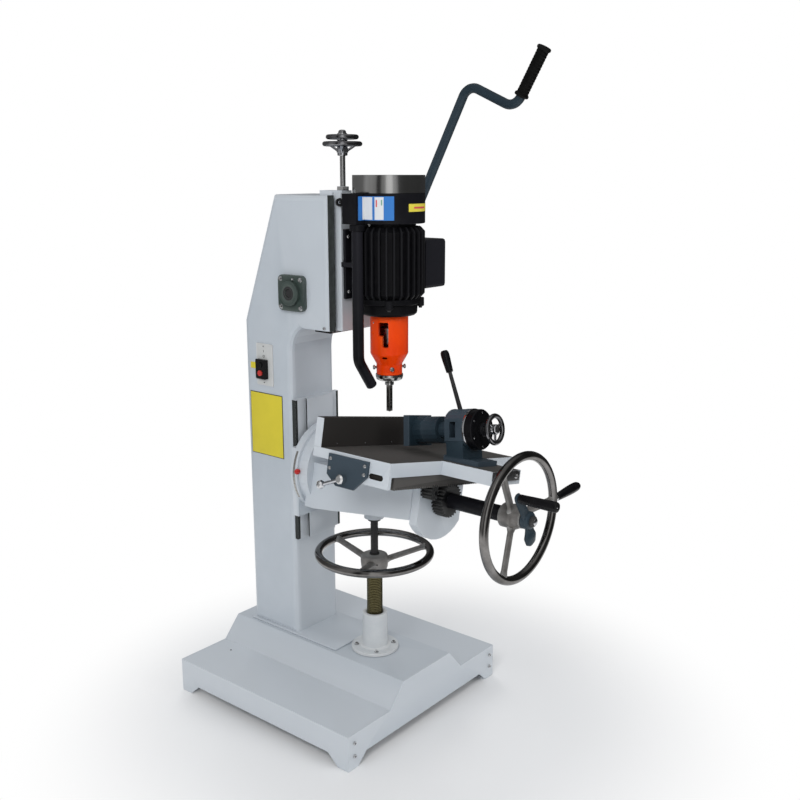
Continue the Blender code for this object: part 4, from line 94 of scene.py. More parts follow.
def bevel(item, width, segments=2):
    edit()
    bpy.ops.mesh.select_all(action="SELECT")
    bpy.ops.mesh.bevel(offset=width, segments=segments, affect="EDGES")
    stop_editing()


def smooth(item):
    choose(item)
    bpy.ops.object.shade_smooth_by_angle(angle=SMOOTH_BELOW)


def turned(name, rings, sides=48, through=False):
    """A piece turned about Z through (radius, height) rings. A through piece has a hole all the way."""
    deselect()
    radius, height = rings[0]
    fill = "NOTHING" if through else "NGON"
    bpy.ops.mesh.primitive_circle_add(vertices=sides, radius=radius, fill_type=fill, location=(0, 0, height))
    item = bpy.context.object
    item.name = name
    bpy.ops.object.transform_apply(location=True)
    edit()
    bpy.ops.mesh.select_mode(type="VERT")
    bpy.ops.mesh.select_all(action="SELECT")
    for new_radius, new_height in rings[1:] + (rings[:1] if through else []):
        bpy.ops.mesh.extrude_region_move(TRANSFORM_OT_translate={"value": (0, 0, new_height - height)})
        share = new_radius / radius
        bpy.ops.transform.resize(value=(share, share, 1), center_override=(0, 0, new_height))
        radius, height = new_radius, new_height
    stop_editing()
    face_outwards(item)
    smooth(item)
    return item


def slab(name, size, at=(0, 0, 0), round_off=0.0006, segments=2):
    """A block with rounded edges."""
    deselect()
    bpy.ops.mesh.primitive_cube_add(size=1, location=at)
    item = bpy.context.object
    item.name = name
    item.scale = size
    bpy.ops.object.transform_apply(location=True, rotation=True, scale=True)
    bevel(item, round_off, segments)
    smooth(item)
    return item


def hoop(name, radius, thickness, height=0.0, sides=96, ring_sides=20):
    deselect()
    bpy.ops.mesh.primitive_torus_add(
        major_radius=radius,
        minor_radius=thickness,
        major_segments=sides,
        minor_segments=ring_sides,
        location=(0, 0, height),
    )
    item = bpy.context.object
    item.name = name
    bpy.ops.object.transform_apply(location=True)
    smooth(item)
    return item


def curved_panel(name, radius, low, high, start, end, thickness=0.0005, sides=180):
    """A thin panel wrapped round Z between two heights and two directions in degrees."""
    deselect()
    bpy.ops.mesh.primitive_cylinder_add(
        vertices=sides,
        radius=radius,
        depth=high - low,
        end_fill_type="NOTHING",
        location=(0, 0, (low + high) / 2),
    )
    item = bpy.context.object
    item.name = name
    bpy.ops.object.transform_apply(location=True)

    def outside(centre, normal):
        turn = math.degrees(math.atan2(centre.y, centre.x)) % 360
        return turn < start or turn > end

    pick_faces(item, outside)
    bpy.ops.mesh.delete(type="FACE")
    stop_editing()
    wall = item.modifiers.new("wall", "SOLIDIFY")
    wall.thickness = thickness
    wall.offset = 1.0
    bpy.ops.object.modifier_apply(modifier=wall.name)
    smooth(item)
    return item


def thread(name, core, crest, pitch, low, high, sides=24):
    """A screw thread about Z: one ridge wound up a round core."""
    rod = turned(name, [(core, low), (core, high)], sides)
    deselect()
    reach = pitch * 0.48
    bpy.ops.mesh.primitive_circle_add(
        vertices=3, radius=reach, location=(core, 0, low + reach), rotation=(math.pi / 2, math.pi / 2, 0)
    )
    ridge = bpy.context.object
    bpy.ops.object.transform_apply(location=True, rotation=True)
    edit()
    bpy.ops.mesh.select_all(action="SELECT")
    bpy.ops.transform.resize(value=((crest - core) / reach, 1, 1), center_override=(core, 0, 0))
    stop_editing()
    screw = ridge.modifiers.new("winding", "SCREW")
    screw.axis = "Z"
    screw.angle = math.tau
    screw.screw_offset = pitch
    screw.iterations = int((high - low - 2 * reach) / pitch)
    screw.steps = sides
    screw.render_steps = sides
    screw.use_merge_vertices = False
    bpy.ops.object.modifier_apply(modifier=screw.name)
    edit()
    bpy.ops.mesh.select_all(action="SELECT")
    bpy.ops.mesh.fill_holes(sides=3)
    stop_editing()
    face_outwards(ridge)
    return joined(name, [rod, ridge])


def bent_bar(name, corners, bend, radius, steps=10, fullness=6):
    """A round bar through corner points, with an arc at each inner corner."""
    corners = [Vector(corner) for corner in corners]
    path = [corners[0]]
    for before, corner, after in zip(corners, corners[1:], corners[2:]):
        incoming = (corner - before).normalized()
        outgoing = (after - corner).normalized()
        half = incoming.angle(outgoing) / 2
        start = corner - incoming * bend * math.tan(half)
        centre = start + (outgoing - incoming * outgoing.dot(incoming)).normalized() * bend
        axis = incoming.cross(outgoing).normalized()
        for i in range(steps + 1):
            path.append(centre + Matrix.Rotation(2 * half * i / steps, 3, axis) @ (start - centre))
    path.append(corners[-1])
    curve = bpy.data.curves.new(name, "CURVE")
    curve.dimensions = "3D"
    curve.bevel_depth = radius
    curve.bevel_resolution = fullness
    curve.use_fill_caps = True
    run = curve.splines.new("POLY")
    run.points.add(len(path) - 1)
    for point, spot in zip(run.points, path):
        point.co = (*spot, 1)
    item = bpy.data.objects.new(name, curve)
    bpy.context.collection.objects.link(item)
    choose(item)
    bpy.ops.object.convert(target="MESH")
    item = bpy.context.object
    face_outwards(item)
    smooth(item)
    return item


def joined(name, items):
    """Joins several pieces into one."""
    deselect()
    for item in items:
        item.select_set(True)
    bpy.context.view_layer.objects.active = items[0]
    bpy.ops.object.join()
    items[0].name = name
    smooth(items[0])
    return items[0]


def carve(item, *cutters):
    """Cuts each cutter out of a piece and drops it."""
    for cutter in cutters:
        choose(item)
        cut = item.modifiers.new("cut", "BOOLEAN")
        cut.operation = "DIFFERENCE"
        cut.solver = "EXACT"
        cut.object = cutter
        bpy.ops.object.modifier_apply(modifier=cut.name)
        bpy.data.objects.remove(cutter, do_unlink=True)
    smooth(item)
    return item


def seat(item, space, at=(0, 0, 0), axis=None, turn=0.0):
    """Turns a piece that was made about Z to point along an axis of a space, and puts it at a place there."""
    aim = Vector(axis).normalized().to_track_quat("Z", "Y").to_matrix().to_4x4() if axis else HERE
    item.matrix_world = space @ Matrix.Translation(at) @ aim @ Matrix.Rotation(turn, 4, "Z")
    choose(item)
    bpy.ops.object.transform_apply(location=True, rotation=True, scale=True)
    return item


def copy_of(pattern, name):
    item = pattern.copy()
    item.data = pattern.data.copy()
    item.name = name
    bpy.context.collection.objects.link(item)
    return item


def finish(item, finish_name, body, *replaced):
    """Gives a finished piece its material, the body it rides on, and the nodes it stands for."""
    item.data.materials.clear()
    item.data.materials.append(LOOKS[finish_name])
    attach(item, body)
    if replaced:
        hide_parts(*replaced)
    return item


def fix_one(pattern, name, space, at, axis, body, finish_name="bright_screw"):
    """A copy of a fastener at a place of a space."""
    piece = seat(copy_of(PATTERNS[pattern], name), space, at, axis)
    finish(piece, finish_name, body)


def fix_all(pattern, name, space, places, axis, body, finish_name="bright_screw"):
    """Copies of one fastener at several places of a space."""
    for number, at in enumerate(places, 1):
        fix_one(pattern, f"{name}_{number}", space, at, axis, body, finish_name)


def round_places(count, radius, height, first):
    """Places spaced evenly round Z, from a first direction in degrees."""
    turns = [math.radians(first + 360 * k / count) for k in range(count)]
    return [(radius * math.cos(t), radius * math.sin(t), height) for t in turns]


def outward(turn, radius, height):
    """A place at a radius from Z in a direction in degrees, and the direction itself."""
    way = Vector((math.cos(math.radians(turn)), math.sin(math.radians(turn)), 0))
    return (way.x * radius, way.y * radius, height), tuple(way)


def side_way(turn):
    """A direction seen from the side, in degrees from Y up towards Z."""
    return Vector((0, math.cos(math.radians(turn)), math.sin(math.radians(turn))))


def front_way(turn):
    """A direction seen from the front, in degrees from X up towards Z."""
    return Vector((math.cos(math.radians(turn)), 0, math.sin(math.radians(turn))))


def spoked_wheel(name, rim, hub, spoke, first, bore=False):
    """A handwheel about Z: a round rim, a turned hub and three flat tapering spokes."""
    rim_radius, rim_tube, rim_height = rim
    spoke_start, spoke_height, hub_half, rim_half, flatness = spoke
    ring = hoop(f"{name}_rim", rim_radius, rim_tube, rim_height)
    parts = [turned(f"{name}_spider", hub, 64, through=bore)]
    for k in range(3):
        way = Vector(outward(first + 120 * k, 1, 0)[0])
        start = way * spoke_start + Vector((0, 0, spoke_height))
        end = way * (rim_radius - rim_tube * 0.45) + Vector((0, 0, rim_height))
        reach = (end - start).length
        outline = [
            (hub_half * 1.5, 0),
            (hub_half, reach * 0.10),
            (rim_half, reach * 0.86),
            (rim_half * 1.3, reach),
        ]
        bar = turned(f"{name}_spoke_{k}", outline, 20)
        bar.scale = (1, flatness, 1)
        bpy.ops.object.transform_apply(scale=True)
        parts.append(seat(bar, HERE, start, end - start))
    return ring, joined(f"{name}_spider", parts)


def place_wheel(parts, rim_look, hub_look, body, node, space, at=(0, 0, 0), axis=None):
    for item, finish_name in zip(parts, (rim_look, hub_look)):
        seat(item, space, at, axis)
        finish(item, finish_name, body, node)


# Finishes

LOOKS = {}


def node_of(tree, kind, **inputs):
    made = tree.nodes.new("ShaderNode" + kind)
    for key, value in inputs.items():
        made.inputs[key].default_value = value
    return made


def mix_of(tree, first, second):
    """A mix of two colours."""
    made = tree.nodes.new("ShaderNodeMix")
    made.data_type = "RGBA"
    made.inputs[6].default_value = (*first, 1)
    made.inputs[7].default_value = (*second, 1)
    return made


def math_of(tree, operation):
    made = tree.nodes.new("ShaderNodeMath")
    made.operation = operation
    return made


def range_of(tree, start, end, low=0.0, high=1.0):
    """A value that goes from low to high while its input goes from start to end."""
    return node_of(tree, "MapRange", **{"From Min": start, "From Max": end, "To Min": low, "To Max": high})


def contrast_of(tree, dark, bright):
    """A ramp that is black up to one value and white from another."""
    made = tree.nodes.new("ShaderNodeValToRGB")
    made.color_ramp.elements[0].position = dark
    made.color_ramp.elements[1].position = bright
    return made


def look(name, tint, second, rough, metal, patch, *, edge, stretch=(1, 1, 1), grain=300.0, depth=0.06,
         coat=0.0, cells=False, spread=0.08, shine=0.5):
    """A worn finish: patches of two tints, edges rubbed to a third, uneven gloss and a fine grain."""
    item = bpy.data.materials.new(name)
    item.use_nodes = True
    tree = item.node_tree
    shader = tree.nodes["Principled BSDF"]
    shader.inputs["Metallic"].default_value = metal
    shader.inputs["Coat Weight"].default_value = coat
    shader.inputs["Specular IOR Level"].default_value = shine
    place = node_of(tree, "TexCoord")
    pull = node_of(tree, "Mapping", Scale=stretch)
    clouds = node_of(tree, "TexNoise", Scale=patch, Detail=6.0, Roughness=0.6)
    fine = node_of(tree, "TexVoronoi" if cells else "TexNoise", Scale=grain)
    patches = contrast_of(tree, 0.38, 0.66)
    tints = mix_of(tree, tint, second)
    corners = node_of(tree, "NewGeometry")
    rubbed = contrast_of(tree, 0.53, 0.60)
    worn = mix_of(tree, tint, edge)
    gloss = range_of(tree, 0.0, 1.0, max(rough - spread, 0.04), rough + spread)
    relief = node_of(tree, "Bump", Strength=depth, Distance=0.0006)
    join = tree.links.new
    join(place.outputs["Object"], pull.inputs["Vector"])
    join(pull.outputs["Vector"], clouds.inputs["Vector"])
    join(pull.outputs["Vector"], fine.inputs["Vector"])
    join(clouds.outputs[0], patches.inputs["Fac"])
    join(patches.outputs["Color"], tints.inputs[0])
    join(corners.outputs["Pointiness"], rubbed.inputs["Fac"])
    join(rubbed.outputs["Color"], worn.inputs[0])
    join(tints.outputs[2], worn.inputs[6])
    join(worn.outputs[2], shader.inputs["Base Color"])
    join(clouds.outputs[0], gloss.inputs["Value"])
    join(gloss.outputs["Result"], shader.inputs["Roughness"])
    join(fine.outputs[0], relief.inputs["Height"])
    join(relief.outputs["Normal"], shader.inputs["Normal"])
    LOOKS[name] = item


def make_paints():
    look("pale_paint", (0.50, 0.55, 0.60), (0.54, 0.59, 0.64), 0.34, 0.0, 5.0,
         grain=500.0, depth=0.05, edge=(0.62, 0.66, 0.70), coat=0.20)
    look("white_paint", (0.66, 0.68, 0.69), (0.59, 0.62, 0.64), 0.45, 0.0, 14.0,
         grain=260.0, depth=0.15, edge=(0.72, 0.73, 0.73))
    look("green_paint", (0.026, 0.043, 0.037), (0.040, 0.062, 0.054), 0.42, 0.0, 40.0,
         grain=420.0, depth=0.25, edge=(0.09, 0.11, 0.10), shine=0.35)
    look("black_casting", (0.003, 0.003, 0.004), (0.006, 0.006, 0.007), 0.45, 0.0, 45.0,
         grain=420.0, depth=0.35, edge=(0.014, 0.014, 0.016), shine=0.12)
    look("black_enamel", (0.003, 0.003, 0.004), (0.007, 0.007, 0.008), 0.32, 0.0, 22.0,
         grain=500.0, depth=0.10, edge=(0.016, 0.016, 0.020), shine=0.12)
    look("orange_enamel", (0.90, 0.056, 0.001), (0.84, 0.047, 0.001), 0.30, 0.0, 30.0,
         grain=500.0, depth=0.08, edge=(0.80, 0.10, 0.01), shine=0.18)
    look("blue_hammer", (0.017, 0.031, 0.043), (0.026, 0.044, 0.058), 0.34, 0.0, 30.0,
         grain=380.0, depth=0.45, edge=(0.050, 0.070, 0.090), shine=0.22, cells=True)


def make_metals():
    look("ground_iron", (0.009, 0.008, 0.007), (0.023, 0.019, 0.016), 0.46, 0.0, 26.0,
         stretch=(0.6, 9.0, 9.0), grain=160.0, depth=0.25, edge=(0.10, 0.095, 0.09), shine=0.12)
    look("dark_face", (0.004, 0.004, 0.004), (0.009, 0.008, 0.007), 0.46, 0.05, 20.0,
         stretch=(1.0, 6.0, 6.0), grain=200.0, depth=0.20, edge=(0.035, 0.032, 0.030), shine=0.12)
    look("slide_way", (0.005, 0.006, 0.006), (0.040, 0.046, 0.045), 0.42, 0.0, 90.0,
         stretch=(1.0, 1.0, 0.5), grain=220.0, depth=0.30, edge=(0.040, 0.045, 0.044), shine=0.12)
    # Stretched tall, its two tints make vertical stripes round turned pieces: painted reflections, not marks
    # of the steel.
    look("turned_steel_reflection_stripes", (0.40, 0.40, 0.39), (0.54, 0.54, 0.54), 0.17, 1.0, 13.0,
         stretch=(1.0, 1.0, 0.02), grain=160.0, depth=0.05, edge=(0.60, 0.60, 0.60), spread=0.04)
    look("plain_steel", (0.30, 0.30, 0.31), (0.42, 0.42, 0.42), 0.28, 1.0, 80.0,
         grain=300.0, depth=0.15, edge=(0.60, 0.60, 0.60))
    look("bright_screw", (0.56, 0.57, 0.59), (0.44, 0.45, 0.47), 0.22, 1.0, 90.0,
         grain=400.0, depth=0.10, edge=(0.75, 0.75, 0.75))
    look("black_oxide", (0.004, 0.004, 0.005), (0.009, 0.009, 0.010), 0.32, 0.0, 60.0,
         grain=300.0, depth=0.15, edge=(0.05, 0.05, 0.05), shine=0.2)
    look("tool_steel", (0.030, 0.028, 0.026), (0.12, 0.115, 0.105), 0.34, 0.8, 150.0,
         grain=300.0, depth=0.20, edge=(0.42, 0.41, 0.39))
    look("polished_rim", (0.12, 0.115, 0.11), (0.26, 0.25, 0.245), 0.14, 1.0, 14.0,
         grain=240.0, depth=0.03, edge=(0.5, 0.5, 0.5), spread=0.06)
    look("grey_casting", (0.17, 0.16, 0.15), (0.26, 0.25, 0.24), 0.44, 0.45, 40.0,
         grain=260.0, depth=0.40, edge=(0.42, 0.42, 0.41))
    look("chrome_plate", (0.46, 0.47, 0.50), (0.58, 0.59, 0.62), 0.09, 1.0, 30.0,
         grain=200.0, depth=0.03, edge=(0.75, 0.75, 0.75), spread=0.04)
    look("dark_chrome", (0.16, 0.16, 0.17), (0.30, 0.30, 0.31), 0.12, 1.0, 60.0,
         grain=200.0, depth=0.03, edge=(0.6, 0.6, 0.6), spread=0.05)
    look("oiled_thread", (0.012, 0.010, 0.004), (0.065, 0.056, 0.024), 0.26, 0.9, 60.0,
         grain=260.0, depth=0.20, edge=(0.16, 0.14, 0.07), shine=0.4)


def make_plastics():
    look("grip_rubber", (0.003, 0.003, 0.003), (0.006, 0.006, 0.006), 0.55, 0.0, 60.0,
         grain=520.0, depth=0.30, edge=(0.012, 0.012, 0.012), shine=0.12)
    look("grip_plastic", (0.003, 0.003, 0.004), (0.006, 0.006, 0.007), 0.26, 0.0, 40.0,
         grain=400.0, depth=0.06, edge=(0.012, 0.012, 0.012), shine=0.2)
    look("plate_plastic", (0.56, 0.57, 0.56), (0.62, 0.63, 0.62), 0.42, 0.0, 24.0,
         grain=400.0, depth=0.06, edge=(0.70, 0.70, 0.69))
    look("button_red", (0.42, 0.006, 0.006), (0.52, 0.010, 0.010), 0.30, 0.0, 60.0,
         grain=400.0, depth=0.05, edge=(0.65, 0.05, 0.04))
    look("label_yellow", (0.62, 0.51, 0.008), (0.70, 0.57, 0.014), 0.40, 0.0, 22.0,
         grain=300.0, depth=0.04, edge=(0.76, 0.65, 0.08), shine=0.10)
    look("label_red", (0.50, 0.012, 0.012), (0.58, 0.020, 0.020), 0.38, 0.0, 40.0,
         grain=300.0, depth=0.04, edge=(0.7, 0.1, 0.1), shine=0.3)
    look("label_green", (0.04, 0.16, 0.10), (0.06, 0.20, 0.13), 0.38, 0.0, 40.0,
         grain=300.0, depth=0.04, edge=(0.2, 0.4, 0.3), shine=0.3)
    look("label_blue", (0.002, 0.11, 0.42), (0.004, 0.14, 0.48), 0.34, 0.0, 30.0,
         grain=300.0, depth=0.04, edge=(0.05, 0.2, 0.55), shine=0.12)
    look("label_white", (0.66, 0.68, 0.70), (0.58, 0.61, 0.64), 0.38, 0.0, 40.0,
         grain=300.0, depth=0.04, edge=(0.75, 0.76, 0.78), shine=0.3)
    look("label_ink", (0.012, 0.012, 0.010), (0.022, 0.021, 0.018), 0.45, 0.0, 40.0,
         grain=300.0, depth=0.04, edge=(0.05, 0.05, 0.045), shine=0.3)


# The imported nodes

def dress(node, main, *others):
    """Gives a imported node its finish, and the faces that pass a test another one."""
    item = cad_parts[node]
    item.data.materials.clear()
    for entry in (main, *(name for name, test in others)):
        item.data.materials.append(LOOKS[entry])
    for face in item.data.polygons:
        face.material_index = 0
        for number, (name, test) in enumerate(others, 1):
            if test(face.center, face.normal):
                face.material_index = number


def in_space(space, test):
    """A test in a space's own places, for the world's faces."""
    back = space.inverted()
    turn = back.to_3x3()
    return lambda centre, normal: test(back @ centre, turn @ normal)


def in_side_slot(centre):
    """Whether a place of the table is inside the slot of its left flange, whose faces are darkened as painted
    shade.
    """
    return -0.2730 < centre.x < -0.25 and -0.40 < centre.y < -0.34 and 0.04 < centre.z < 0.07


def dress_nodes():
    plain = {
        "pale_paint": ("base_shell", "base_front_plate", "base_rear_plate", "column", "head_slide",
                       "knee_saddle", "knee_arm", "arm_end_plate", "cross_slide", "stop_bracket"),
        "white_paint": ("screw_pedestal",),
        "green_paint": ("bearing_flange_left", "bearing_flange_right"),
        "black_casting": ("motor_body", "motor_end_bell"),
        "black_enamel": ("motor_bracket", "terminal_box", "terminal_lid", "blower_housing", "air_pipe",
                         "vise_cover"),
        "orange_enamel": ("chisel_housing",),
        "blue_hammer": ("feed_lever", "lock_plate", "vise_body", "vise_jaw", "crank"),
        "ground_iron": ("table_rack",),
        "plain_steel": ("blower_impeller", "spindle_chuck", "depth_stop_rod"),
        "turned_steel_reflection_stripes": ("blower_cap", "chisel_collar"),
        "tool_steel": ("hollow_chisel", "auger_bit"),
        "black_oxide": ("feed_rack", "pinion_shaft", "table_gear_shaft", "idler_gear", "cross_screw"),
        "chrome_plate": ("stop_wheel", "stop_lock_wheel", "lock_lever", "vise_handwheel"),
        "polished_rim": ("lift_handwheel", "table_handwheel"),
        "oiled_thread": ("lift_screw",),
        "grip_rubber": ("lever_grip",),
        "grip_plastic": ("start_button", "crank_grip", "wheel_grip", "quick_lever"),
        "button_red": ("stop_button",),
    }
    for finish_name, nodes in plain.items():
        for node in nodes:
            dress(node, finish_name)
    dress("head_way", "pale_paint", ("slide_way", lambda c, n: abs(n.x) > 0.5 or n.z < -0.5))
    dress("knee_way", "pale_paint", ("slide_way", lambda c, n: abs(n.x) > 0.5))
    dress("switch_plate", "plate_plastic", ("grip_plastic", lambda c, n: c.x < -0.0905))
    dress(
        "table",
        "pale_paint",
        ("ground_iron", in_space(TABLE, lambda c, n: n.z > 0.9 and c.z > 0.09)),
        # Faces inside the left flange's slot get the dark finish as painted shade of the gap.
        ("dark_face", in_space(TABLE, lambda c, n: n.z < -0.9 or in_side_slot(c))),
    )
    dress("fence", "pale_paint", ("dark_face", in_space(TABLE, lambda c, n: abs(n.y) > 0.5 or n.z > 0.5)))


# Fasteners

PATTERNS = {}


def make_patterns():
    """One of each fastener, pointing up from the origin."""
    head = turned("hex_head", [(0.0050, 0), (0.0050, 0.0042), (0.0044, 0.0050)], 6)
    washer = turned("washer", [(0.0066, 0), (0.0066, 0.0008), (0.0060, 0.0012)], 24)
    PATTERNS["hex"] = joined("hex_pattern", [head, washer])
    outlines = {
        "cap": (24, [(0.0050, 0), (0.0050, 0.0046), (0.0046, 0.0052), (0.0026, 0.0052), (0.0025, 0.0022)]),
        "button": (20, [(0.0050, 0), (0.0046, 0.0016), (0.0034, 0.0028), (0.0018, 0.0029),
                        (0.0017, 0.0014)]),
        "small": (16, [(0.0026, 0), (0.0024, 0.0009), (0.0017, 0.0015), (0.0009, 0.0016), (0.0008, 0.0008)]),
        "stud": (20, [(0.0034, 0), (0.0034, 0.0050), (0.0058, 0.0055), (0.0062, 0.0075), (0.0058, 0.0095),
                      (0.0032, 0.0105), (0.0030, 0.0085)]),
    }
    for name, (sides, rings) in outlines.items():
        PATTERNS[name] = turned(f"{name}_pattern", rings, sides)


# The base and the column

def add_base_fittings():
    fronts = [(side * 0.303, -0.3293, height) for side in (-1, 1) for height in (0.037, 0.074)]
    fix_all("cap", "base_front_bolt", MACHINE, fronts, FRONT, "frame")
    weld = slab("column_weld", (0.186, 0.3485, 0.006), round_off=0.0028)
    finish(seat(weld, MACHINE, (0, 0.10275, 0.1632)), "pale_paint", "frame")
    fix_one("small", "wing_plug", MACHINE, (-0.198, 0.258, 0.0982), None, "frame", "black_oxide")
    fix_all("hex", "pedestal_bolt", LIFT, round_places(4, 0.053, 0.1704, 45), None, "frame")
    post = turned(
        "pedestal_post",
        [(0.0228, 0.1800), (0.0640, 0.1603), (0.0670, 0.1620), (0.0670, 0.1690), (0.0655, 0.1703),
         (0.0395, 0.1703), (0.0368, 0.1730), (0.0350, 0.2600), (0.0345, 0.2690), (0.0325, 0.2710),
         (0.0262, 0.2710), (0.0240, 0.2690), (0.0234, 0.2640)],
        64,
        through=True,
    )
    finish(seat(post, LIFT), "white_paint", "frame", "screw_pedestal")


def add_column_plates():
    plates = (
        ("notice_border", "label_ink", (0.0008, 0.131, 0.184), (-0.08775, 0.1875, 0.783)),
        ("notice_plate", "label_yellow", (0.0010, 0.127, 0.180), (-0.08815, 0.1875, 0.783)),
        ("switch_tag", "label_yellow", (0.0008, 0.022, 0.018), (-0.08765, 0.237, 0.951)),
    )
    for name, finish_name, size, at in plates:
        finish(seat(slab(name, size, round_off=0.0003), MACHINE, at), finish_name, "frame")
    ends = [(-0.0904, 0.190, 1.010), (-0.0904, 0.190, 0.906)]
    fix_all("small", "switch_screw", MACHINE, ends, LEFT, "frame")
    ring = hoop("switch_ring", 0.0032, 0.0006, sides=32, ring_sides=8)
    finish(seat(ring, MACHINE, (-0.0905, 0.190, 0.982), LEFT), "label_ink", "frame")
    bar = slab("switch_bar", (0.0006, 0.0012, 0.007), round_off=0.0002)
    finish(seat(bar, MACHINE, (-0.0905, 0.190, 0.9965)), "label_ink", "frame")
    fix_one("button", "column_side_screw", MACHINE, (-0.0872, -0.045, 1.083), LEFT, "frame")


def add_way_edges():
    for side, name in ((-1, "left"), (1, "right")):
        edge = slab(f"way_edge_{name}", (0.0012, 0.0220, 0.352), round_off=0.0004)
        finish(seat(edge, MACHINE, (side * 0.0872, -0.0758, 1.254)), "slide_way", "frame")
        wear = slab(f"knee_way_edge_{name}", (0.0082, 0.0002, 0.408), round_off=0.00008)
        finish(seat(wear, MACHINE, (side * 0.0828, 0.0719, 0.665)), "slide_way", "frame")
    strip = slab("head_foot_strip", (0.168, 0.058, 0.005), round_off=0.0012)
    finish(seat(strip, MACHINE, (0, -0.036, 1.0732)), "grip_rubber", "frame")


def add_bearing_fittings():
    for side, name in ((-1, "left"), (1, "right")):
        out = (side, 0, 0)
        corners = [
            (side * 0.0995, FEED_Y + y * 0.0375, FEED_HEIGHT + z * 0.038) for y in (-1, 1) for z in (-1, 1)
        ]
        fix_all("hex", f"bearing_bolt_{name}", MACHINE, corners, out, "frame")
        shell = turned(
            f"bearing_shell_{name}",
            [(0.0250, 0), (0.0335, 0), (0.0340, 0.0020), (0.0335, 0.0090), (0.0315, 0.0102),
             (0.0275, 0.0104), (0.0262, 0.0090)],
            64,
            through=True,
        )
        finish(seat(shell, MACHINE, (side * 0.0993, FEED_Y, FEED_HEIGHT), out), "green_paint", "frame")
        insert = turned(
            f"bearing_insert_{name}",
            [(0.0132, 0), (0.0258, 0), (0.0258, 0.0060), (0.0200, 0.0066), (0.0196, 0.0104),
             (0.0186, 0.0112), (0.0132, 0.0112)],
            48,
            through=True,
        )
        finish(seat(insert, MACHINE, (side * 0.0984, FEED_Y, FEED_HEIGHT), out), "black_oxide", "frame")
        nipple = turned(
            f"grease_nipple_{name}",
            [(0.0030, 0), (0.0030, 0.0030), (0.0018, 0.0036), (0.0018, 0.0055), (0.0024, 0.0065),
             (0.0012, 0.0080)],
            16,
        )
        finish(seat(nipple, MACHINE, (side * 0.0994, 0.054, 1.2085), out), "bright_screw", "frame")


# The head

def add_head_fittings():
    bracket = [(x, -0.1076, z) for x in (-0.059, 0.059) for z in (1.184, 1.326)]
    fix_all("cap", "bracket_bolt", MACHINE, bracket, FRONT, "head")
    eye = hoop("slide_eye", 0.0072, 0.0036, sides=32)
    finish(seat(eye, MACHINE, (-0.0850, -0.105, 1.413), (-0.77, -0.64, 0)), "black_oxide", "head")
    stem = turned("slide_eye_stem", [(0.0032, 0), (0.0032, 0.004), (0.0024, 0.0085)], 16)
    finish(seat(stem, MACHINE, (-0.0745, -0.098, 1.413), (-0.8, -0.5, 0)), "black_oxide", "head")
    lid_height = 1.2525
    lid = slab("terminal_lid_panel", (0.0030, 0.086, 0.092), round_off=0.0012)
    finish(seat(lid, MACHINE, (0.1636, MOTOR_Y, lid_height)), "black_enamel", "head")
    corners = [(0.1621, MOTOR_Y + y * 0.0515, lid_height + z * 0.055) for y in (-1, 1) for z in (-1, 1)]
    fix_all("button", "lid_screw", MACHINE, corners, RIGHT, "head")


def add_motor_pieces():
    bell = turned(
        "motor_bell",
        [(0.0650, 1.1263), (0.0680, 1.1268), (0.0722, 1.1305), (0.0735, 1.1345), (0.0745, 1.1540),
         (0.0790, 1.1560), (0.0815, 1.1575), (0.0820, 1.1600), (0.0820, 1.1695), (0.0812, 1.1707)],
        96,
    )
    foot_radius = 0.0815
    foot_height = 1.1480
    feet = [outward(turn, foot_radius, foot_height)[0] for turn in (40, 130, 220, 310)]
    ear = [(0.0086, 0), (0.0098, 0.0014), (0.0098, 0.0210), (0.0088, 0.0222)]
    ears = [seat(turned("ear", ear, 24), HERE, foot) for foot in feet]
    finish(seat(joined("motor_bell", [bell, *ears]), MOTOR), "black_casting", "head", "motor_end_bell")
    fix_all("hex", "bell_bolt", MOTOR, feet, DOWN, "head", "black_oxide")


def add_blower_pieces():
    drum = turned(
        "blower_drum",
        [(0.0915, 1.3613), (0.0930, 1.3628), (0.0930, 1.4350), (0.0922, 1.4360), (0.0884, 1.4360),
         (0.0880, 1.4350), (0.0880, 1.3663)],
        96,
    )
    outlet = slab("outlet", (0.0685, 0.046, 0.0747), (-0.09225, 0.024, 1.39865), 0.0015, 3)
    finish(seat(joined("blower_drum", [drum, outlet]), MOTOR), "black_enamel", "head", "blower_housing")
    cap = turned(
        "blower_cap_ring",
        [(0.0350, 1.4363), (0.0915, 1.4363), (0.0928, 1.4370), (0.0930, 1.4385), (0.0930, 1.4800),
         (0.0926, 1.4808), (0.0918, 1.4810), (0.0906, 1.4806), (0.0900, 1.4797), (0.0900, 1.4393),
         (0.0350, 1.4393)],
        128,
        through=True,
    )
    finish(seat(cap, MOTOR), "turned_steel_reflection_stripes", "head", "blower_cap")


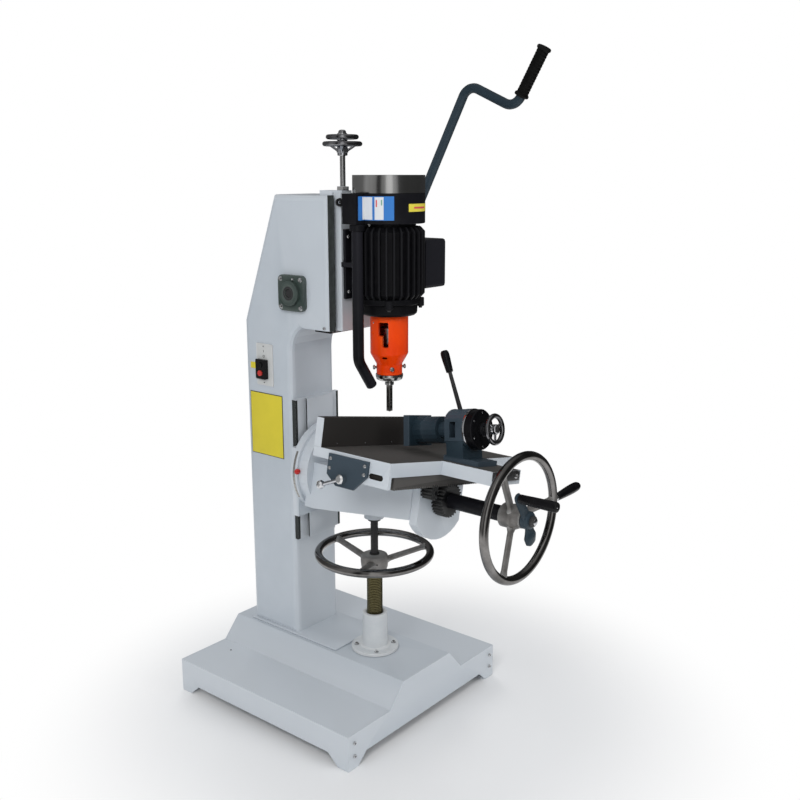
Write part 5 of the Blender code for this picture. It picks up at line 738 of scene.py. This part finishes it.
def add_blower_labels():
    """Bare plates in layers, round the drum and on the outlet's front."""
    first_layer = 0.0931
    layer_depth = 0.0005
    outlet_height = 1.40025
    round_plates = (
        ("blower_label_frame", "label_blue", 1.3710, 1.4295, 181, 228, 0),
        ("blower_label_left", "label_white", 1.3728, 1.4277, 181, 195, 1),
        ("blower_label_middle", "label_white", 1.3728, 1.4277, 197.5, 213, 1),
        ("blower_label_stripe", "label_red", 1.4040, 1.4210, 200, 203, 2),
        ("blower_label_spot", "label_green", 1.4080, 1.4210, 207, 210, 2),
        ("blower_label_right", "label_yellow", 1.3915, 1.4110, 253, 304, 0),
        ("blower_arrow_shaft", "label_red", 1.3990, 1.4035, 262, 292, 1),
    )
    for name, finish_name, low, high, start, end, layer in round_plates:
        plate = curved_panel(name, first_layer + layer_depth * layer, low, high, start, end)
        finish(seat(plate, MOTOR), finish_name, "head")
    flat_plates = (
        ("blower_label_side", "label_blue", 0.0236, 0.0585, -0.1050, 0.0008),
        ("blower_label_side_panel", "label_white", 0.0083, 0.0549, -0.0972, 0.0003),
    )
    for name, finish_name, width, height, x, y in flat_plates:
        plate = slab(name, (width, 0.0008, height), round_off=0.0002)
        finish(seat(plate, MOTOR, (x, y, outlet_height)), finish_name, "head")


def add_blower_fittings():
    """The bolts under the drum, and the wire guard over the inlet."""
    under = [outward(turn, 0.0850, 1.3612)[0] for turn in (168, 184)]
    fix_all("hex", "blower_bolt", MOTOR, under, DOWN, "head")
    for number, radius in enumerate((0.012, 0.022, 0.032), 1):
        wire = hoop(f"inlet_guard_{number}", radius, 0.0012, 1.4400, 48, 8)
        finish(seat(wire, MOTOR), "bright_screw", "head")
    for number, turn in enumerate((45, 135), 1):
        bar = slab(f"inlet_guard_bar_{number}", (0.074, 0.0022, 0.0016), round_off=0.0005)
        finish(seat(bar, MOTOR, (0, 0, 1.4402), turn=math.radians(turn)), "bright_screw", "head")


def add_air_pipe():
    elbow = Vector((-0.104, 0.016, 1.014))
    tip = Vector((-0.0537, 0.016, 0.943))
    heading = (tip - elbow).normalized()
    wall = 0.002
    bore_depth = 0.012
    pipe = bent_bar("air_hose", [(-0.104, 0.016, 1.3610), elbow, tip], 0.045, 0.0145)
    pick_faces(pipe, lambda c, n: (c - tip).length < 0.004 and n.dot(heading) > 0.9)
    bpy.ops.mesh.inset(thickness=wall)
    bpy.ops.mesh.extrude_region_move(TRANSFORM_OT_translate={"value": tuple(-heading * bore_depth)})
    stop_editing()
    face_outwards(pipe)
    finish(seat(pipe, MOTOR), "black_enamel", "head", "air_pipe")
    rings = [(0.0160, 0), (0.0190, 0.001), (0.0195, 0.003), (0.0195, 0.014), (0.0185, 0.016)]
    union = turned("pipe_union", rings, 48)
    finish(seat(union, MOTOR, (-0.104, 0.016, 1.3440)), "black_enamel", "head")


def add_chisel_housing():
    housing = turned(
        "orange_housing",
        [(0.0380, 1.1260), (0.0380, 1.0120), (0.0140, 1.0080), (0.0125, 0.9680), (0.0330, 0.9680),
         (0.0340, 0.9690), (0.0340, 0.9945), (0.0346, 0.9965), (0.0493, 1.0225), (0.0500, 1.0250),
         (0.0500, 1.1245), (0.0490, 1.1260)],
        96,
        through=True,
    )
    window_way = Matrix.Rotation(math.radians(203), 4, "Z")
    windows = (
        ((0.040, 0.027, 0.036), 0.0030, (0.045, -0.0010, 1.0920)),
        ((0.040, 0.016, 0.040), 0.0040, (0.045, 0.0045, 1.0640)),
        ((0.026, 0.015, 0.006), 0.0025, (0.045, 0.0010, 1.0160)),
    )
    for size, rounding, at in windows:
        carve(housing, seat(slab("window", size, round_off=rounding), window_way, at))
    finish(seat(housing, MOTOR), "orange_enamel", "head", "chisel_housing")
    for number, turn in enumerate((50, 140, 230, 320), 1):
        at, way = outward(turn, 0.0335, 0.986)
        fix_one("stud", f"chisel_set_screw_{number}", MOTOR, at, way, "head", "plain_steel")
    at, way = outward(166, 0.0500, 1.108)
    fix_one("small", "housing_screw", MOTOR, at, way, "head")


def add_chisel():
    collar = turned(
        "chisel_ring",
        [(0.0068, 0.9365), (0.0085, 0.9360), (0.0118, 0.9380), (0.0120, 0.9435), (0.0105, 0.9450),
         (0.0120, 0.9465), (0.0120, 0.9517), (0.0300, 0.9517), (0.0340, 0.9540), (0.0362, 0.9610),
         (0.0365, 0.9660), (0.0358, 0.9677), (0.0068, 0.9677)],
        72,
        through=True,
    )
    finish(seat(collar, MOTOR), "turned_steel_reflection_stripes", "head", "chisel_collar")
    shell = slab("square_chisel", (0.0120, 0.0120, 0.0700), (0, 0, 0.9010), 0.0006)
    west = slab("west_socket", (0.0074, 0.0054, 0.0480), (-0.0060, 0, 0.9000), 0.0015)
    south = slab("south_socket", (0.0054, 0.0074, 0.0480), (0, -0.0060, 0.9000), 0.0015)
    finish(seat(carve(shell, west, south), MOTOR), "tool_steel", "head", "hollow_chisel")


def add_spindle_pieces():
    bit = thread("twist_bit", 0.0024, 0.0048, 0.0085, 0.8643, 0.9350, 20)
    shank = turned("bit_shank", [(0.0047, 0.9340), (0.0047, 1.0470), (0.0043, 1.0477)], 20)
    finish(seat(joined("twist_bit", [bit, shank]), MOTOR), "bright_screw", "spindle", "auger_bit")
    chuck = turned(
        "chuck",
        [(0.0080, 1.0180), (0.0100, 1.0184), (0.0215, 1.0390), (0.0220, 1.0400), (0.0220, 1.0600),
         (0.0205, 1.0606), (0.0205, 1.0640), (0.0220, 1.0646), (0.0220, 1.0910), (0.0210, 1.0920),
         (0.0105, 1.0922), (0.0105, 1.4195)],
        48,
    )
    finish(seat(chuck, MOTOR), "plain_steel", "spindle", "spindle_chuck")


def add_depth_stop():
    rod = thread("depth_stop_thread", 0.0068, 0.0077, 0.0025, 1.4365, 1.5860, 16)
    cap_nut = turned(
        "cap_nut",
        [(0.0100, 1.5848), (0.0104, 1.5857), (0.0100, 1.5875), (0.0092, 1.5900), (0.0070, 1.5922),
         (0.0035, 1.5930)],
        24,
    )
    finish(seat(joined("depth_stop_thread", [rod, cap_nut]), STOP), "dark_chrome", "head", "depth_stop_rod")
    nut = turned(
        "guide_collar",
        [(0.0138, 1.4426), (0.0170, 1.4426), (0.0174, 1.4435), (0.0174, 1.4512), (0.0166, 1.4520),
         (0.0138, 1.4520)],
        6,
        through=True,
    )
    finish(seat(nut, STOP, turn=math.radians(12)), "dark_chrome", "frame")
    lower = spoked_wheel(
        "stop_wheel_lower",
        (0.0452, 0.0060, 1.5582),
        [(0.0080, 1.5284), (0.0122, 1.5290), (0.0130, 1.5305), (0.0130, 1.5360), (0.0150, 1.5372),
         (0.0150, 1.5420), (0.0130, 1.5520), (0.0130, 1.5636), (0.0118, 1.5643), (0.0080, 1.5643)],
        (0.0110, 1.5400, 0.0046, 0.0042, 0.7),
        100,
        bore=True,
    )
    place_wheel(lower, "dark_chrome", "chrome_plate", "stop_wheel", "stop_wheel", STOP)
    upper = spoked_wheel(
        "stop_wheel_upper",
        (0.0362, 0.0060, 1.5752),
        [(0.0080, 1.5647), (0.0130, 1.5652), (0.0135, 1.5670), (0.0135, 1.5820), (0.0122, 1.5844),
         (0.0080, 1.5846)],
        (0.0110, 1.5720, 0.0044, 0.0040, 0.7),
        40,
        bore=True,
    )
    place_wheel(upper, "dark_chrome", "chrome_plate", "stop_lock_wheel", "stop_lock_wheel", STOP)


# The feed lever

def add_feed_lever():
    lean = side_way(117.5)
    middle = side_way(204.4)
    last = side_way(120)
    across = Vector((0, -lean.z, lean.y))
    long_run = 0.632
    middle_run = 0.163
    last_run = 0.160
    axis = Vector((0.255, FEED_Y, FEED_HEIGHT))
    foot = axis + across * 0.0363
    bend_one = foot + lean * long_run
    bend_two = bend_one + middle * middle_run
    end = bend_two + last * last_run
    bar = bent_bar("lever_bar", [foot - lean * 0.034, bend_one, bend_two, end], 0.036, 0.0125, 14, 8)
    hub = turned(
        "hub",
        [(0.0128, 0), (0.0270, 0), (0.0290, 0.002), (0.0290, 0.034), (0.0270, 0.036), (0.0128, 0.036)],
        64,
        through=True,
    )
    seat(hub, HERE, (0.237, axis.y, axis.z), RIGHT)
    clamp = slab("clamp", (0.0350, 0.040, 0.040), round_off=0.008, segments=4)
    seat(clamp, HERE, foot.lerp(axis, 0.18), lean)
    keep_out = turned("keep_out", [(0.0275, 0), (0.0275, 0.060)], 48)
    carve(clamp, seat(keep_out, HERE, (0.225, axis.y, axis.z), RIGHT))
    finish(seat(joined("lever_bar", [bar, hub, clamp]), MACHINE), "blue_hammer", "feed_lever", "feed_lever")
    fix_one("hex", "lever_clamp_screw", MACHINE, foot + across * 0.020, across, "feed_lever")
    add_lever_grip(end - last * 0.1257, last)


def add_lever_grip(at, way):
    """A ribbed sleeve with a bead at each end."""
    ribs = 14
    rib_pitch = 0.0080
    rings = [(0.0128, 0), (0.0185, 0), (0.0190, 0.0012), (0.0190, 0.0050), (0.0168, 0.0072)]
    for k in range(ribs):
        low = 0.0100 + rib_pitch * k
        rings += [(0.0148, low), (0.0155, low + 0.0014), (0.0155, low + 0.0056), (0.0148, low + 0.0070)]
    rings += [(0.0170, 0.1230), (0.0187, 0.1250), (0.0187, 0.1290), (0.0170, 0.1311), (0.0110, 0.1318)]
    grip = turned("ribbed_grip", rings, 48)
    finish(seat(grip, MACHINE, at, way), "grip_rubber", "feed_lever", "lever_grip")


# The lift, the knee and its scale

def add_lift_pieces():
    screw = thread("lift_thread", 0.0203, 0.0224, 0.0050, 0.1790, 0.3976, 28)
    finish(seat(screw, LIFT), "oiled_thread", "knee", "lift_screw")
    stem = thread("lift_stem", 0.0096, 0.0108, 0.0030, 0.4480, 0.6000, 20)
    journal = turned("journal", [(0.0140, 0.3970), (0.0140, 0.4480), (0.0120, 0.4500)], 32)
    finish(seat(joined("lift_stem", [stem, journal]), LIFT), "black_oxide", "knee", "lift_screw")
    collar = turned(
        "lift_stem_collar",
        [(0.0111, 0.5442), (0.0175, 0.5442), (0.0180, 0.5448), (0.0180, 0.5516), (0.0175, 0.5522),
         (0.0111, 0.5522)],
        40,
        through=True,
    )
    finish(seat(collar, LIFT), "black_oxide", "knee")
    wheel = spoked_wheel(
        "lift_wheel",
        (0.1565, 0.0115, 0.4498),
        [(0.0145, 0.3982), (0.0300, 0.3982), (0.0345, 0.4000), (0.0372, 0.4080), (0.0390, 0.4260),
         (0.0388, 0.4360), (0.0360, 0.4420), (0.0310, 0.4445), (0.0145, 0.4445)],
        (0.0320, 0.4240, 0.0115, 0.0105, 0.66),
        86,
        bore=True,
    )
    place_wheel(wheel, "polished_rim", "grey_casting", "lift_wheel", "lift_handwheel", LIFT)
    at, way = outward(231, 0.0385, 0.4250)
    fix_one("small", "lift_hub_screw", LIFT, at, way, "lift_wheel", "black_oxide")


def add_knee_fittings():
    scale_space = MACHINE @ Matrix.Translation((0, 0.050, PIVOT_HEIGHT))
    scale_radius = 0.1300
    first_mark = 151
    mark_step = 5
    scale = curved_panel("tilt_scale", scale_radius, 0.0060, 0.0125, 150, 212, 0.0006, 240)
    finish(seat(scale, scale_space, (0, 0, 0), FRONT), "tool_steel", "knee")
    for number in range(13):
        reach = 0.0038 if number % 2 else 0.0056
        middle = (scale_radius + 0.0007, 0, 0.0064 + reach / 2)
        tick = slab(f"tilt_scale_mark_{number + 1}", (0.0006, 0.0009, reach), middle, 0.0002)
        seat(tick, HERE, turn=math.radians(first_mark + mark_step * number))
        finish(seat(tick, scale_space, (0, 0, 0), FRONT), "label_ink", "knee")
    pointer = turned(
        "tilt_pointer",
        [(0.0030, 0), (0.0030, 0.0030), (0.0062, 0.0040), (0.0080, 0.0080), (0.0078, 0.0120),
         (0.0058, 0.0155), (0.0022, 0.0168)],
        28,
    )
    finish(seat(pointer, MACHINE, (-0.1180, 0.0290, 0.682), LEFT), "button_red", "arm")
    fix_one("button", "tilt_lock_screw", MACHINE, (-0.1160, 0.0290, 0.664), LEFT, "arm", "black_oxide")


# The table and its drive

def add_table_fittings():
    lock = [(-0.2818, b, n) for b, n in ((-0.338, 0.076), (-0.338, 0.055), (-0.226, 0.076), (-0.226, 0.052))]
    fix_all("button", "lock_plate_bolt", TABLE, lock, LEFT, "table")
    behind = [(a, -0.1578, 0.083) for a in (-0.20, -0.07, 0.07, 0.20)]
    fix_all("hex", "fence_back_bolt", TABLE, behind, (0, 1, 0), "table")
    seam = [(a, -0.1825, 0.104) for a in (-0.215, -0.105, 0.005)]
    fix_all("small", "fence_foot_screw", TABLE, seam, FRONT, "table")
    # A dark strip in the flange's slot: painted shade of the gap, not a part.
    slot_shade = slab("side_slot_painted_shade", (0.0030, 0.0550, 0.0150), round_off=0.0010)
    finish(seat(slot_shade, TABLE, (-0.2690, -0.3725, 0.0550)), "dark_face", "table")
    block = slab("tongue_end_block", (0.112, 0.0090, 0.0235), round_off=0.0015)
    finish(seat(block, TABLE, (-0.008, -0.5664, 0.0835)), "black_oxide", "table")
    pair = [(a, -0.5709, 0.0835) for a in (-0.040, 0.030)]
    fix_all("hex", "tongue_bolt", TABLE, pair, FRONT, "table")


def add_drive_sleeve():
    sleeve = turned(
        "drive_sleeve",
        [(0.0196, 0.4070), (0.0200, 0.4070), (0.0202, 0.4075), (0.0202, 0.6000), (0.0200, 0.6005),
         (0.0196, 0.6005)],
        48,
        through=True,
    )
    finish(seat(sleeve, SHAFT, (0, 0, 0), FRONT), "black_enamel", "table_wheel")


def add_table_wheel():
    grip_turn = 13.7
    middle = Vector((0, -0.616, 0))
    heading = front_way(grip_turn)
    wheel = spoked_wheel(
        "table_wheel",
        (0.1565, 0.0115, 0.0),
        [(0.0203, -0.0480), (0.0285, -0.0480), (0.0305, -0.0460), (0.0305, -0.0240), (0.0325, -0.0205),
         (0.0325, -0.0120), (0.0290, -0.0050), (0.0245, 0.0040), (0.0235, 0.0112), (0.0203, 0.0112)],
        (0.0280, -0.0165, 0.0110, 0.0110, 0.60),
        grip_turn,
        bore=True,
    )
    place_wheel(
        wheel, "polished_rim", "grey_casting", "table_wheel", "table_handwheel", SHAFT, middle, FRONT
    )
    rings = [(0.0075, 0.1665), (0.0080, 0.1690), (0.0080, 0.1745), (0.0050, 0.1750), (0.0050, 0.2800)]
    pin = turned("grip_pin", rings, 24)
    finish(seat(pin, SHAFT, middle, heading), "bright_screw", "table_wheel")
    barrel = turned(
        "wheel_grip_barrel",
        [(0.0054, 0), (0.0087, 0), (0.0094, 0.0015), (0.0104, 0.0140), (0.0118, 0.0400), (0.0128, 0.0650),
         (0.0130, 0.0780), (0.0127, 0.0920), (0.0117, 0.1020), (0.0095, 0.1080), (0.0065, 0.1108),
         (0.0030, 0.1120)],
        40,
    )
    seat(barrel, SHAFT, middle + heading * 0.176, heading)
    finish(barrel, "grip_plastic", "wheel_grip", "wheel_grip")


def add_idler_cap():
    cap = turned("idler_cap", [(0.0070, 0), (0.0070, 0.0020), (0.0062, 0.0030), (0.0035, 0.0032)], 24)
    finish(seat(cap, TABLE, (-0.077, -0.4075, 0.0125), FRONT), "black_oxide", "arm")


def add_crank():
    """The crank's hub, the arm of its grip and the lobe across from it, in one casting, and its ball nut."""
    hub_rear = 0.6284
    arm_middle = hub_rear + 0.0105
    flatness = 0.46
    hub = turned(
        "crank_hub",
        [(0.0092, 0), (0.0215, 0), (0.0230, 0.0015), (0.0230, 0.0165), (0.0205, 0.0200),
         (0.0160, 0.0215), (0.0092, 0.0215)],
        48,
        through=True,
    )
    parts = [seat(hub, HERE, (0, -hub_rear, 0), FRONT)]
    for turn, reach, near, far in ((136, 0.084, 0.0155, 0.0130), (-64, 0.050, 0.0160, 0.0225)):
        arm = turned(
            "crank_arm",
            [(near, 0.010), (near * 0.92, reach * 0.45), ((near + far) * 0.48, reach * 0.72),
             (far, reach * 0.92), (far * 0.97, reach * 1.02), (far * 0.80, reach + far * 0.62),
             (far * 0.35, reach + far * 0.94)],
            32,
        )
        arm.scale = (1, flatness, 1)
        bpy.ops.object.transform_apply(scale=True)
        aim = Matrix.Rotation(math.radians(90 - turn), 4, "Y")
        parts.append(seat(arm, Matrix.Translation((0, -arm_middle, 0)) @ aim))
    finish(seat(joined("crank_casting", parts), SHAFT), "blue_hammer", "crank", "crank")
    nut = turned(
        "crank_ball_nut",
        [(0.0088, 0), (0.0088, 0.0020), (0.0072, 0.0030), (0.0068, 0.0050), (0.0092, 0.0065),
         (0.0098, 0.0090), (0.0088, 0.0112), (0.0060, 0.0126), (0.0020, 0.0130)],
        40,
    )
    finish(seat(nut, SHAFT, (0, -hub_rear - 0.0218, 0), FRONT), "chrome_plate", "crank")


def add_crank_grip():
    foot = Vector((-0.0604, 0, 0.0584))
    pin = turned("crank_pin", [(0.0050, 0.6400), (0.0050, 0.7430)], 20)
    finish(seat(pin, SHAFT, foot, FRONT), "bright_screw", "crank")
    barrel = turned(
        "crank_grip_barrel",
        [(0.0054, 0), (0.0105, 0), (0.0112, 0.0020), (0.0116, 0.0200), (0.0124, 0.0500), (0.0130, 0.0800),
         (0.0130, 0.0940), (0.0126, 0.1010), (0.0112, 0.1030), (0.0060, 0.1034), (0.0055, 0.1015),
         (0.0020, 0.1015)],
        40,
    )
    seat(barrel, SHAFT, foot + Vector((0, -0.6446, 0)), FRONT)
    finish(barrel, "grip_plastic", "crank_grip", "crank_grip")
    fix_one("small", "crank_grip_screw", SHAFT, foot + Vector((0, -0.7463, 0)), FRONT, "crank")


# The vise

def add_vise_cover():
    cover = turned(
        "vise_cover_dome",
        [(0.0535, 0.0480), (0.0535, 0.0540), (0.0520, 0.0545), (0.0520, 0.0715), (0.0500, 0.0742),
         (0.0470, 0.0748), (0.0180, 0.0748), (0.0178, 0.0795), (0.0165, 0.0808), (0.0095, 0.0808),
         (0.0095, 0.0480)],
        96,
        through=True,
    )
    finish(seat(cover, VISE, (0, 0, 0), FRONT), "black_enamel", "table", "vise_cover")
    ring = turned(
        "vise_steel_ring",
        [(0.0500, 0.0478), (0.0535, 0.0478), (0.0538, 0.0486), (0.0538, 0.0530), (0.0534, 0.0540),
         (0.0500, 0.0540)],
        96,
        through=True,
    )
    finish(seat(ring, VISE, (0, 0, 0), FRONT), "chrome_plate", "table")
    screws = [front_way(30 + 60 * k) * 0.043 + Vector((0, -0.0747, 0)) for k in range(6)]
    fix_all("small", "cover_screw", VISE, screws, FRONT, "table")


def add_vise_wheel():
    wheel = spoked_wheel(
        "vise_wheel",
        (0.0342, 0.0063, 0.0),
        [(0.0085, -0.0090), (0.0125, -0.0085), (0.0130, -0.0070), (0.0130, 0.0050), (0.0110, 0.0080),
         (0.0085, 0.0090)],
        (0.0110, 0.0, 0.0042, 0.0036, 0.75),
        30,
    )
    place_wheel(
        wheel, "dark_chrome", "chrome_plate", "vise_wheel", "vise_handwheel", VISE, (0, -0.1125, 0), FRONT
    )
    spindle = turned("vise_spindle", [(0.0088, -0.0100), (0.0088, 0.1040)], 32)
    finish(seat(spindle, VISE, (0, 0, 0), FRONT), "dark_chrome", "vise_wheel")
    cap = turned("vise_wheel_nut", [(0.0070, 0), (0.0070, 0.0020), (0.0055, 0.0045), (0.0020, 0.0056)], 24)
    finish(seat(cap, VISE, (0, -0.1214, 0), FRONT), "black_oxide", "vise_wheel")


def add_quick_lever():
    lean = side_way(71.9)
    root = Vector((0, -0.013, 0.0335))
    foot = turned("quick_root", [(0.0075, -0.006), (0.0085, -0.005), (0.0085, 0.005), (0.0075, 0.006)], 40)
    seat(foot, HERE, root, RIGHT)
    rod = turned("quick_rod", [(0.0062, 0), (0.0058, 0.030), (0.0050, 0.122)], 24)
    seat(rod, HERE, root, lean)
    finish(seat(joined("quick_lever_rod", [foot, rod]), VISE), "black_oxide", "quick_lever", "quick_lever")
    knob = turned(
        "quick_knob",
        [(0.0075, 0), (0.0092, 0.0010), (0.0094, 0.0040), (0.0100, 0.0150), (0.0112, 0.0360),
         (0.0115, 0.0470), (0.0108, 0.0545), (0.0085, 0.0585), (0.0040, 0.0598)],
        40,
    )
    finish(seat(knob, VISE, root + lean * 0.122, lean), "grip_plastic", "quick_lever", "quick_lever")


# Light, floor and camera

def floor_paper():
    """White paper that fades to plain white round the machine. Far out, reflections see through it."""
    paper = bpy.data.materials.new("white_floor")
    paper.use_nodes = True
    tree = paper.node_tree
    shader = tree.nodes["Principled BSDF"]
    shader.inputs["Roughness"].default_value = 0.9
    shader.inputs["Specular IOR Level"].default_value = 0.0
    place = node_of(tree, "TexCoord")
    clouds = node_of(tree, "TexNoise", Scale=2.0)
    tints = mix_of(tree, (0.93, 0.93, 0.93), (0.95, 0.95, 0.95))
    distance = tree.nodes.new("ShaderNodeVectorMath")
    distance.operation = "LENGTH"
    fade = range_of(tree, 0.45, 1.05)
    fade.interpolation_type = "SMOOTHSTEP"
    far = range_of(tree, 1.6, 2.6)
    rays = node_of(tree, "LightPath")
    seen = math_of(tree, "MAXIMUM")
    share = math_of(tree, "MULTIPLY")
    opening = math_of(tree, "MULTIPLY")
    glow = node_of(tree, "Emission", Color=(1, 1, 1, 1), Strength=1.0)
    clear = node_of(tree, "BsdfTransparent")
    blend = node_of(tree, "MixShader")
    reach = node_of(tree, "MixShader")
    join = tree.links.new
    join(place.outputs["Object"], clouds.inputs["Vector"])
    join(clouds.outputs[0], tints.inputs[0])
    join(tints.outputs[2], shader.inputs["Base Color"])
    join(place.outputs["Object"], distance.inputs[0])
    join(distance.outputs["Value"], fade.inputs["Value"])
    join(rays.outputs["Is Camera Ray"], seen.inputs[0])
    join(rays.outputs["Is Glossy Ray"], seen.inputs[1])
    join(fade.outputs["Result"], share.inputs[0])
    join(seen.outputs[0], share.inputs[1])
    join(share.outputs[0], blend.inputs[0])
    join(shader.outputs[0], blend.inputs[1])
    join(glow.outputs[0], blend.inputs[2])
    join(distance.outputs["Value"], far.inputs["Value"])
    join(far.outputs["Result"], opening.inputs[0])
    join(rays.outputs["Is Glossy Ray"], opening.inputs[1])
    join(opening.outputs[0], reach.inputs[0])
    join(blend.outputs[0], reach.inputs[1])
    join(clear.outputs[0], reach.inputs[2])
    join(reach.outputs[0], tree.nodes["Material Output"].inputs["Surface"])
    return paper


def make_floor():
    deselect()
    bpy.ops.mesh.primitive_plane_add(size=60, location=(0, 0, -0.0005))
    floor = bpy.context.object
    floor.name = "studio_floor"
    floor.data.materials.append(floor_paper())


def studio_walls(tree):
    """Pale and dark walls side by side round the compass, under a pale ceiling."""
    place = node_of(tree, "TexCoord")
    split = node_of(tree, "SeparateXYZ")
    compass = math_of(tree, "ARCTAN2")
    share = range_of(tree, -math.pi, math.pi)
    band = node_of(tree, "ValToRGB")
    ramp = band.color_ramp
    walls = (
        (0.006, 0.05), (0.040, 0.06), (0.050, 0.32), (0.080, 0.36), (0.092, 1.0), (0.136, 1.0),
        (0.150, 0.45), (0.178, 0.38), (0.196, 0.06), (0.580, 0.035), (0.640, 0.15), (0.860, 0.18),
        (0.900, 0.42),
    )
    for end in (0, 1):
        ramp.elements[end].position = end
        ramp.elements[end].color = (0.32, 0.32, 0.32, 1)
    for position, level in walls:
        step = ramp.elements.new(position)
        step.color = (level, level, level * 1.02, 1)
    ceiling = range_of(tree, 0.55, 0.95, high=0.45)
    brighter = math_of(tree, "MAXIMUM")
    join = tree.links.new
    join(place.outputs["Generated"], split.inputs[0])
    join(split.outputs["Y"], compass.inputs[0])
    join(split.outputs["X"], compass.inputs[1])
    join(compass.outputs[0], share.inputs["Value"])
    join(share.outputs["Result"], band.inputs["Fac"])
    join(split.outputs["Z"], ceiling.inputs["Value"])
    join(band.outputs["Color"], brighter.inputs[0])
    join(ceiling.outputs["Result"], brighter.inputs[1])
    return brighter.outputs[0]


def make_studio():
    """Soft light from all round and a white background. Reflections see the walls."""
    world = bpy.data.worlds.new("studio")
    bpy.context.scene.world = world
    world.use_nodes = True
    tree = world.node_tree
    soft = tree.nodes["Background"]
    soft.inputs["Color"].default_value = (0.95, 0.97, 1.0, 1)
    soft.inputs["Strength"].default_value = 0.54
    white = node_of(tree, "Background", Color=(1, 1, 1, 1), Strength=1.0)
    banded = node_of(tree, "Background", Strength=1.0)
    rays = node_of(tree, "LightPath")
    seen = math_of(tree, "MAXIMUM")
    metal = node_of(tree, "MixShader")
    blend = node_of(tree, "MixShader")
    join = tree.links.new
    join(studio_walls(tree), banded.inputs["Color"])
    join(rays.outputs["Is Glossy Ray"], metal.inputs[0])
    join(soft.outputs[0], metal.inputs[1])
    join(banded.outputs[0], metal.inputs[2])
    join(rays.outputs["Is Camera Ray"], seen.inputs[0])
    join(rays.outputs["Is Transmission Ray"], seen.inputs[1])
    join(seen.outputs[0], blend.inputs[0])
    join(metal.outputs[0], blend.inputs[1])
    join(white.outputs[0], blend.inputs[2])
    join(blend.outputs[0], tree.nodes["World Output"].inputs["Surface"])


def make_lamps():
    """Three soft boxes, given by place, power and width, that look at the middle of the machine."""
    middle = Vector((0, 0.1, 0.9))
    lamps = (
        ("key_lamp", (-2.6, -1.2, 2.6), 39, 1.2),
        ("front_lamp", (0.6, -3.2, 2.4), 19, 1.2),
        ("back_lamp", (1.8, 2.4, 2.8), 22, 1.6),
    )
    for name, at, power, size in lamps:
        lamp = bpy.data.lights.new(name, "AREA")
        lamp.energy = power
        lamp.size = size
        item = bpy.data.objects.new(name, lamp)
        bpy.context.collection.objects.link(item)
        item.location = at
        item.visible_glossy = False
        item.rotation_euler = (middle - Vector(at)).to_track_quat("-Z", "Y").to_euler()


def place_camera():
    """The photograph's own viewpoint."""
    heading, dip, roll = -50.675, 13.011, -0.057
    lens = bpy.data.cameras.new("photo_camera")
    lens.lens = 44.2
    lens.sensor_width = 36.0
    item = bpy.data.objects.new("photo_camera", lens)
    bpy.context.collection.objects.link(item)
    item.location = (-1.9585, -1.6282, 1.4855)
    aim = Matrix.Rotation(math.radians(heading), 4, "Z") @ Matrix.Rotation(math.radians(90 - dip), 4, "X")
    item.rotation_euler = (aim @ Matrix.Rotation(math.radians(roll), 4, "Z")).to_euler()
    bpy.context.scene.camera = item


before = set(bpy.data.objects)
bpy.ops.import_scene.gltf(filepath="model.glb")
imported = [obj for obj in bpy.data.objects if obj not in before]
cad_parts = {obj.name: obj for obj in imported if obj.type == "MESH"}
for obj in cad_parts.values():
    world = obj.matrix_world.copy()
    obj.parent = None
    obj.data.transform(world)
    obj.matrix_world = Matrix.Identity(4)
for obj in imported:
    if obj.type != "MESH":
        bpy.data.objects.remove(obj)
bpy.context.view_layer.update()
bpy.context.scene.view_settings.view_transform = "Standard"
make_paints()
make_metals()
make_plastics()
dress_nodes()
make_patterns()
add_base_fittings()
add_column_plates()
add_way_edges()
add_bearing_fittings()
add_head_fittings()
add_motor_pieces()
add_blower_pieces()
add_blower_labels()
add_blower_fittings()
add_air_pipe()
add_chisel_housing()
add_chisel()
add_spindle_pieces()
add_depth_stop()
add_feed_lever()
add_lift_pieces()
add_knee_fittings()
add_table_fittings()
add_drive_sleeve()
add_table_wheel()
add_idler_cap()
add_crank()
add_crank_grip()
add_vise_cover()
add_vise_wheel()
add_quick_lever()
for pattern in PATTERNS.values():
    bpy.data.objects.remove(pattern, do_unlink=True)
make_floor()
make_studio()
make_lamps()
place_camera()
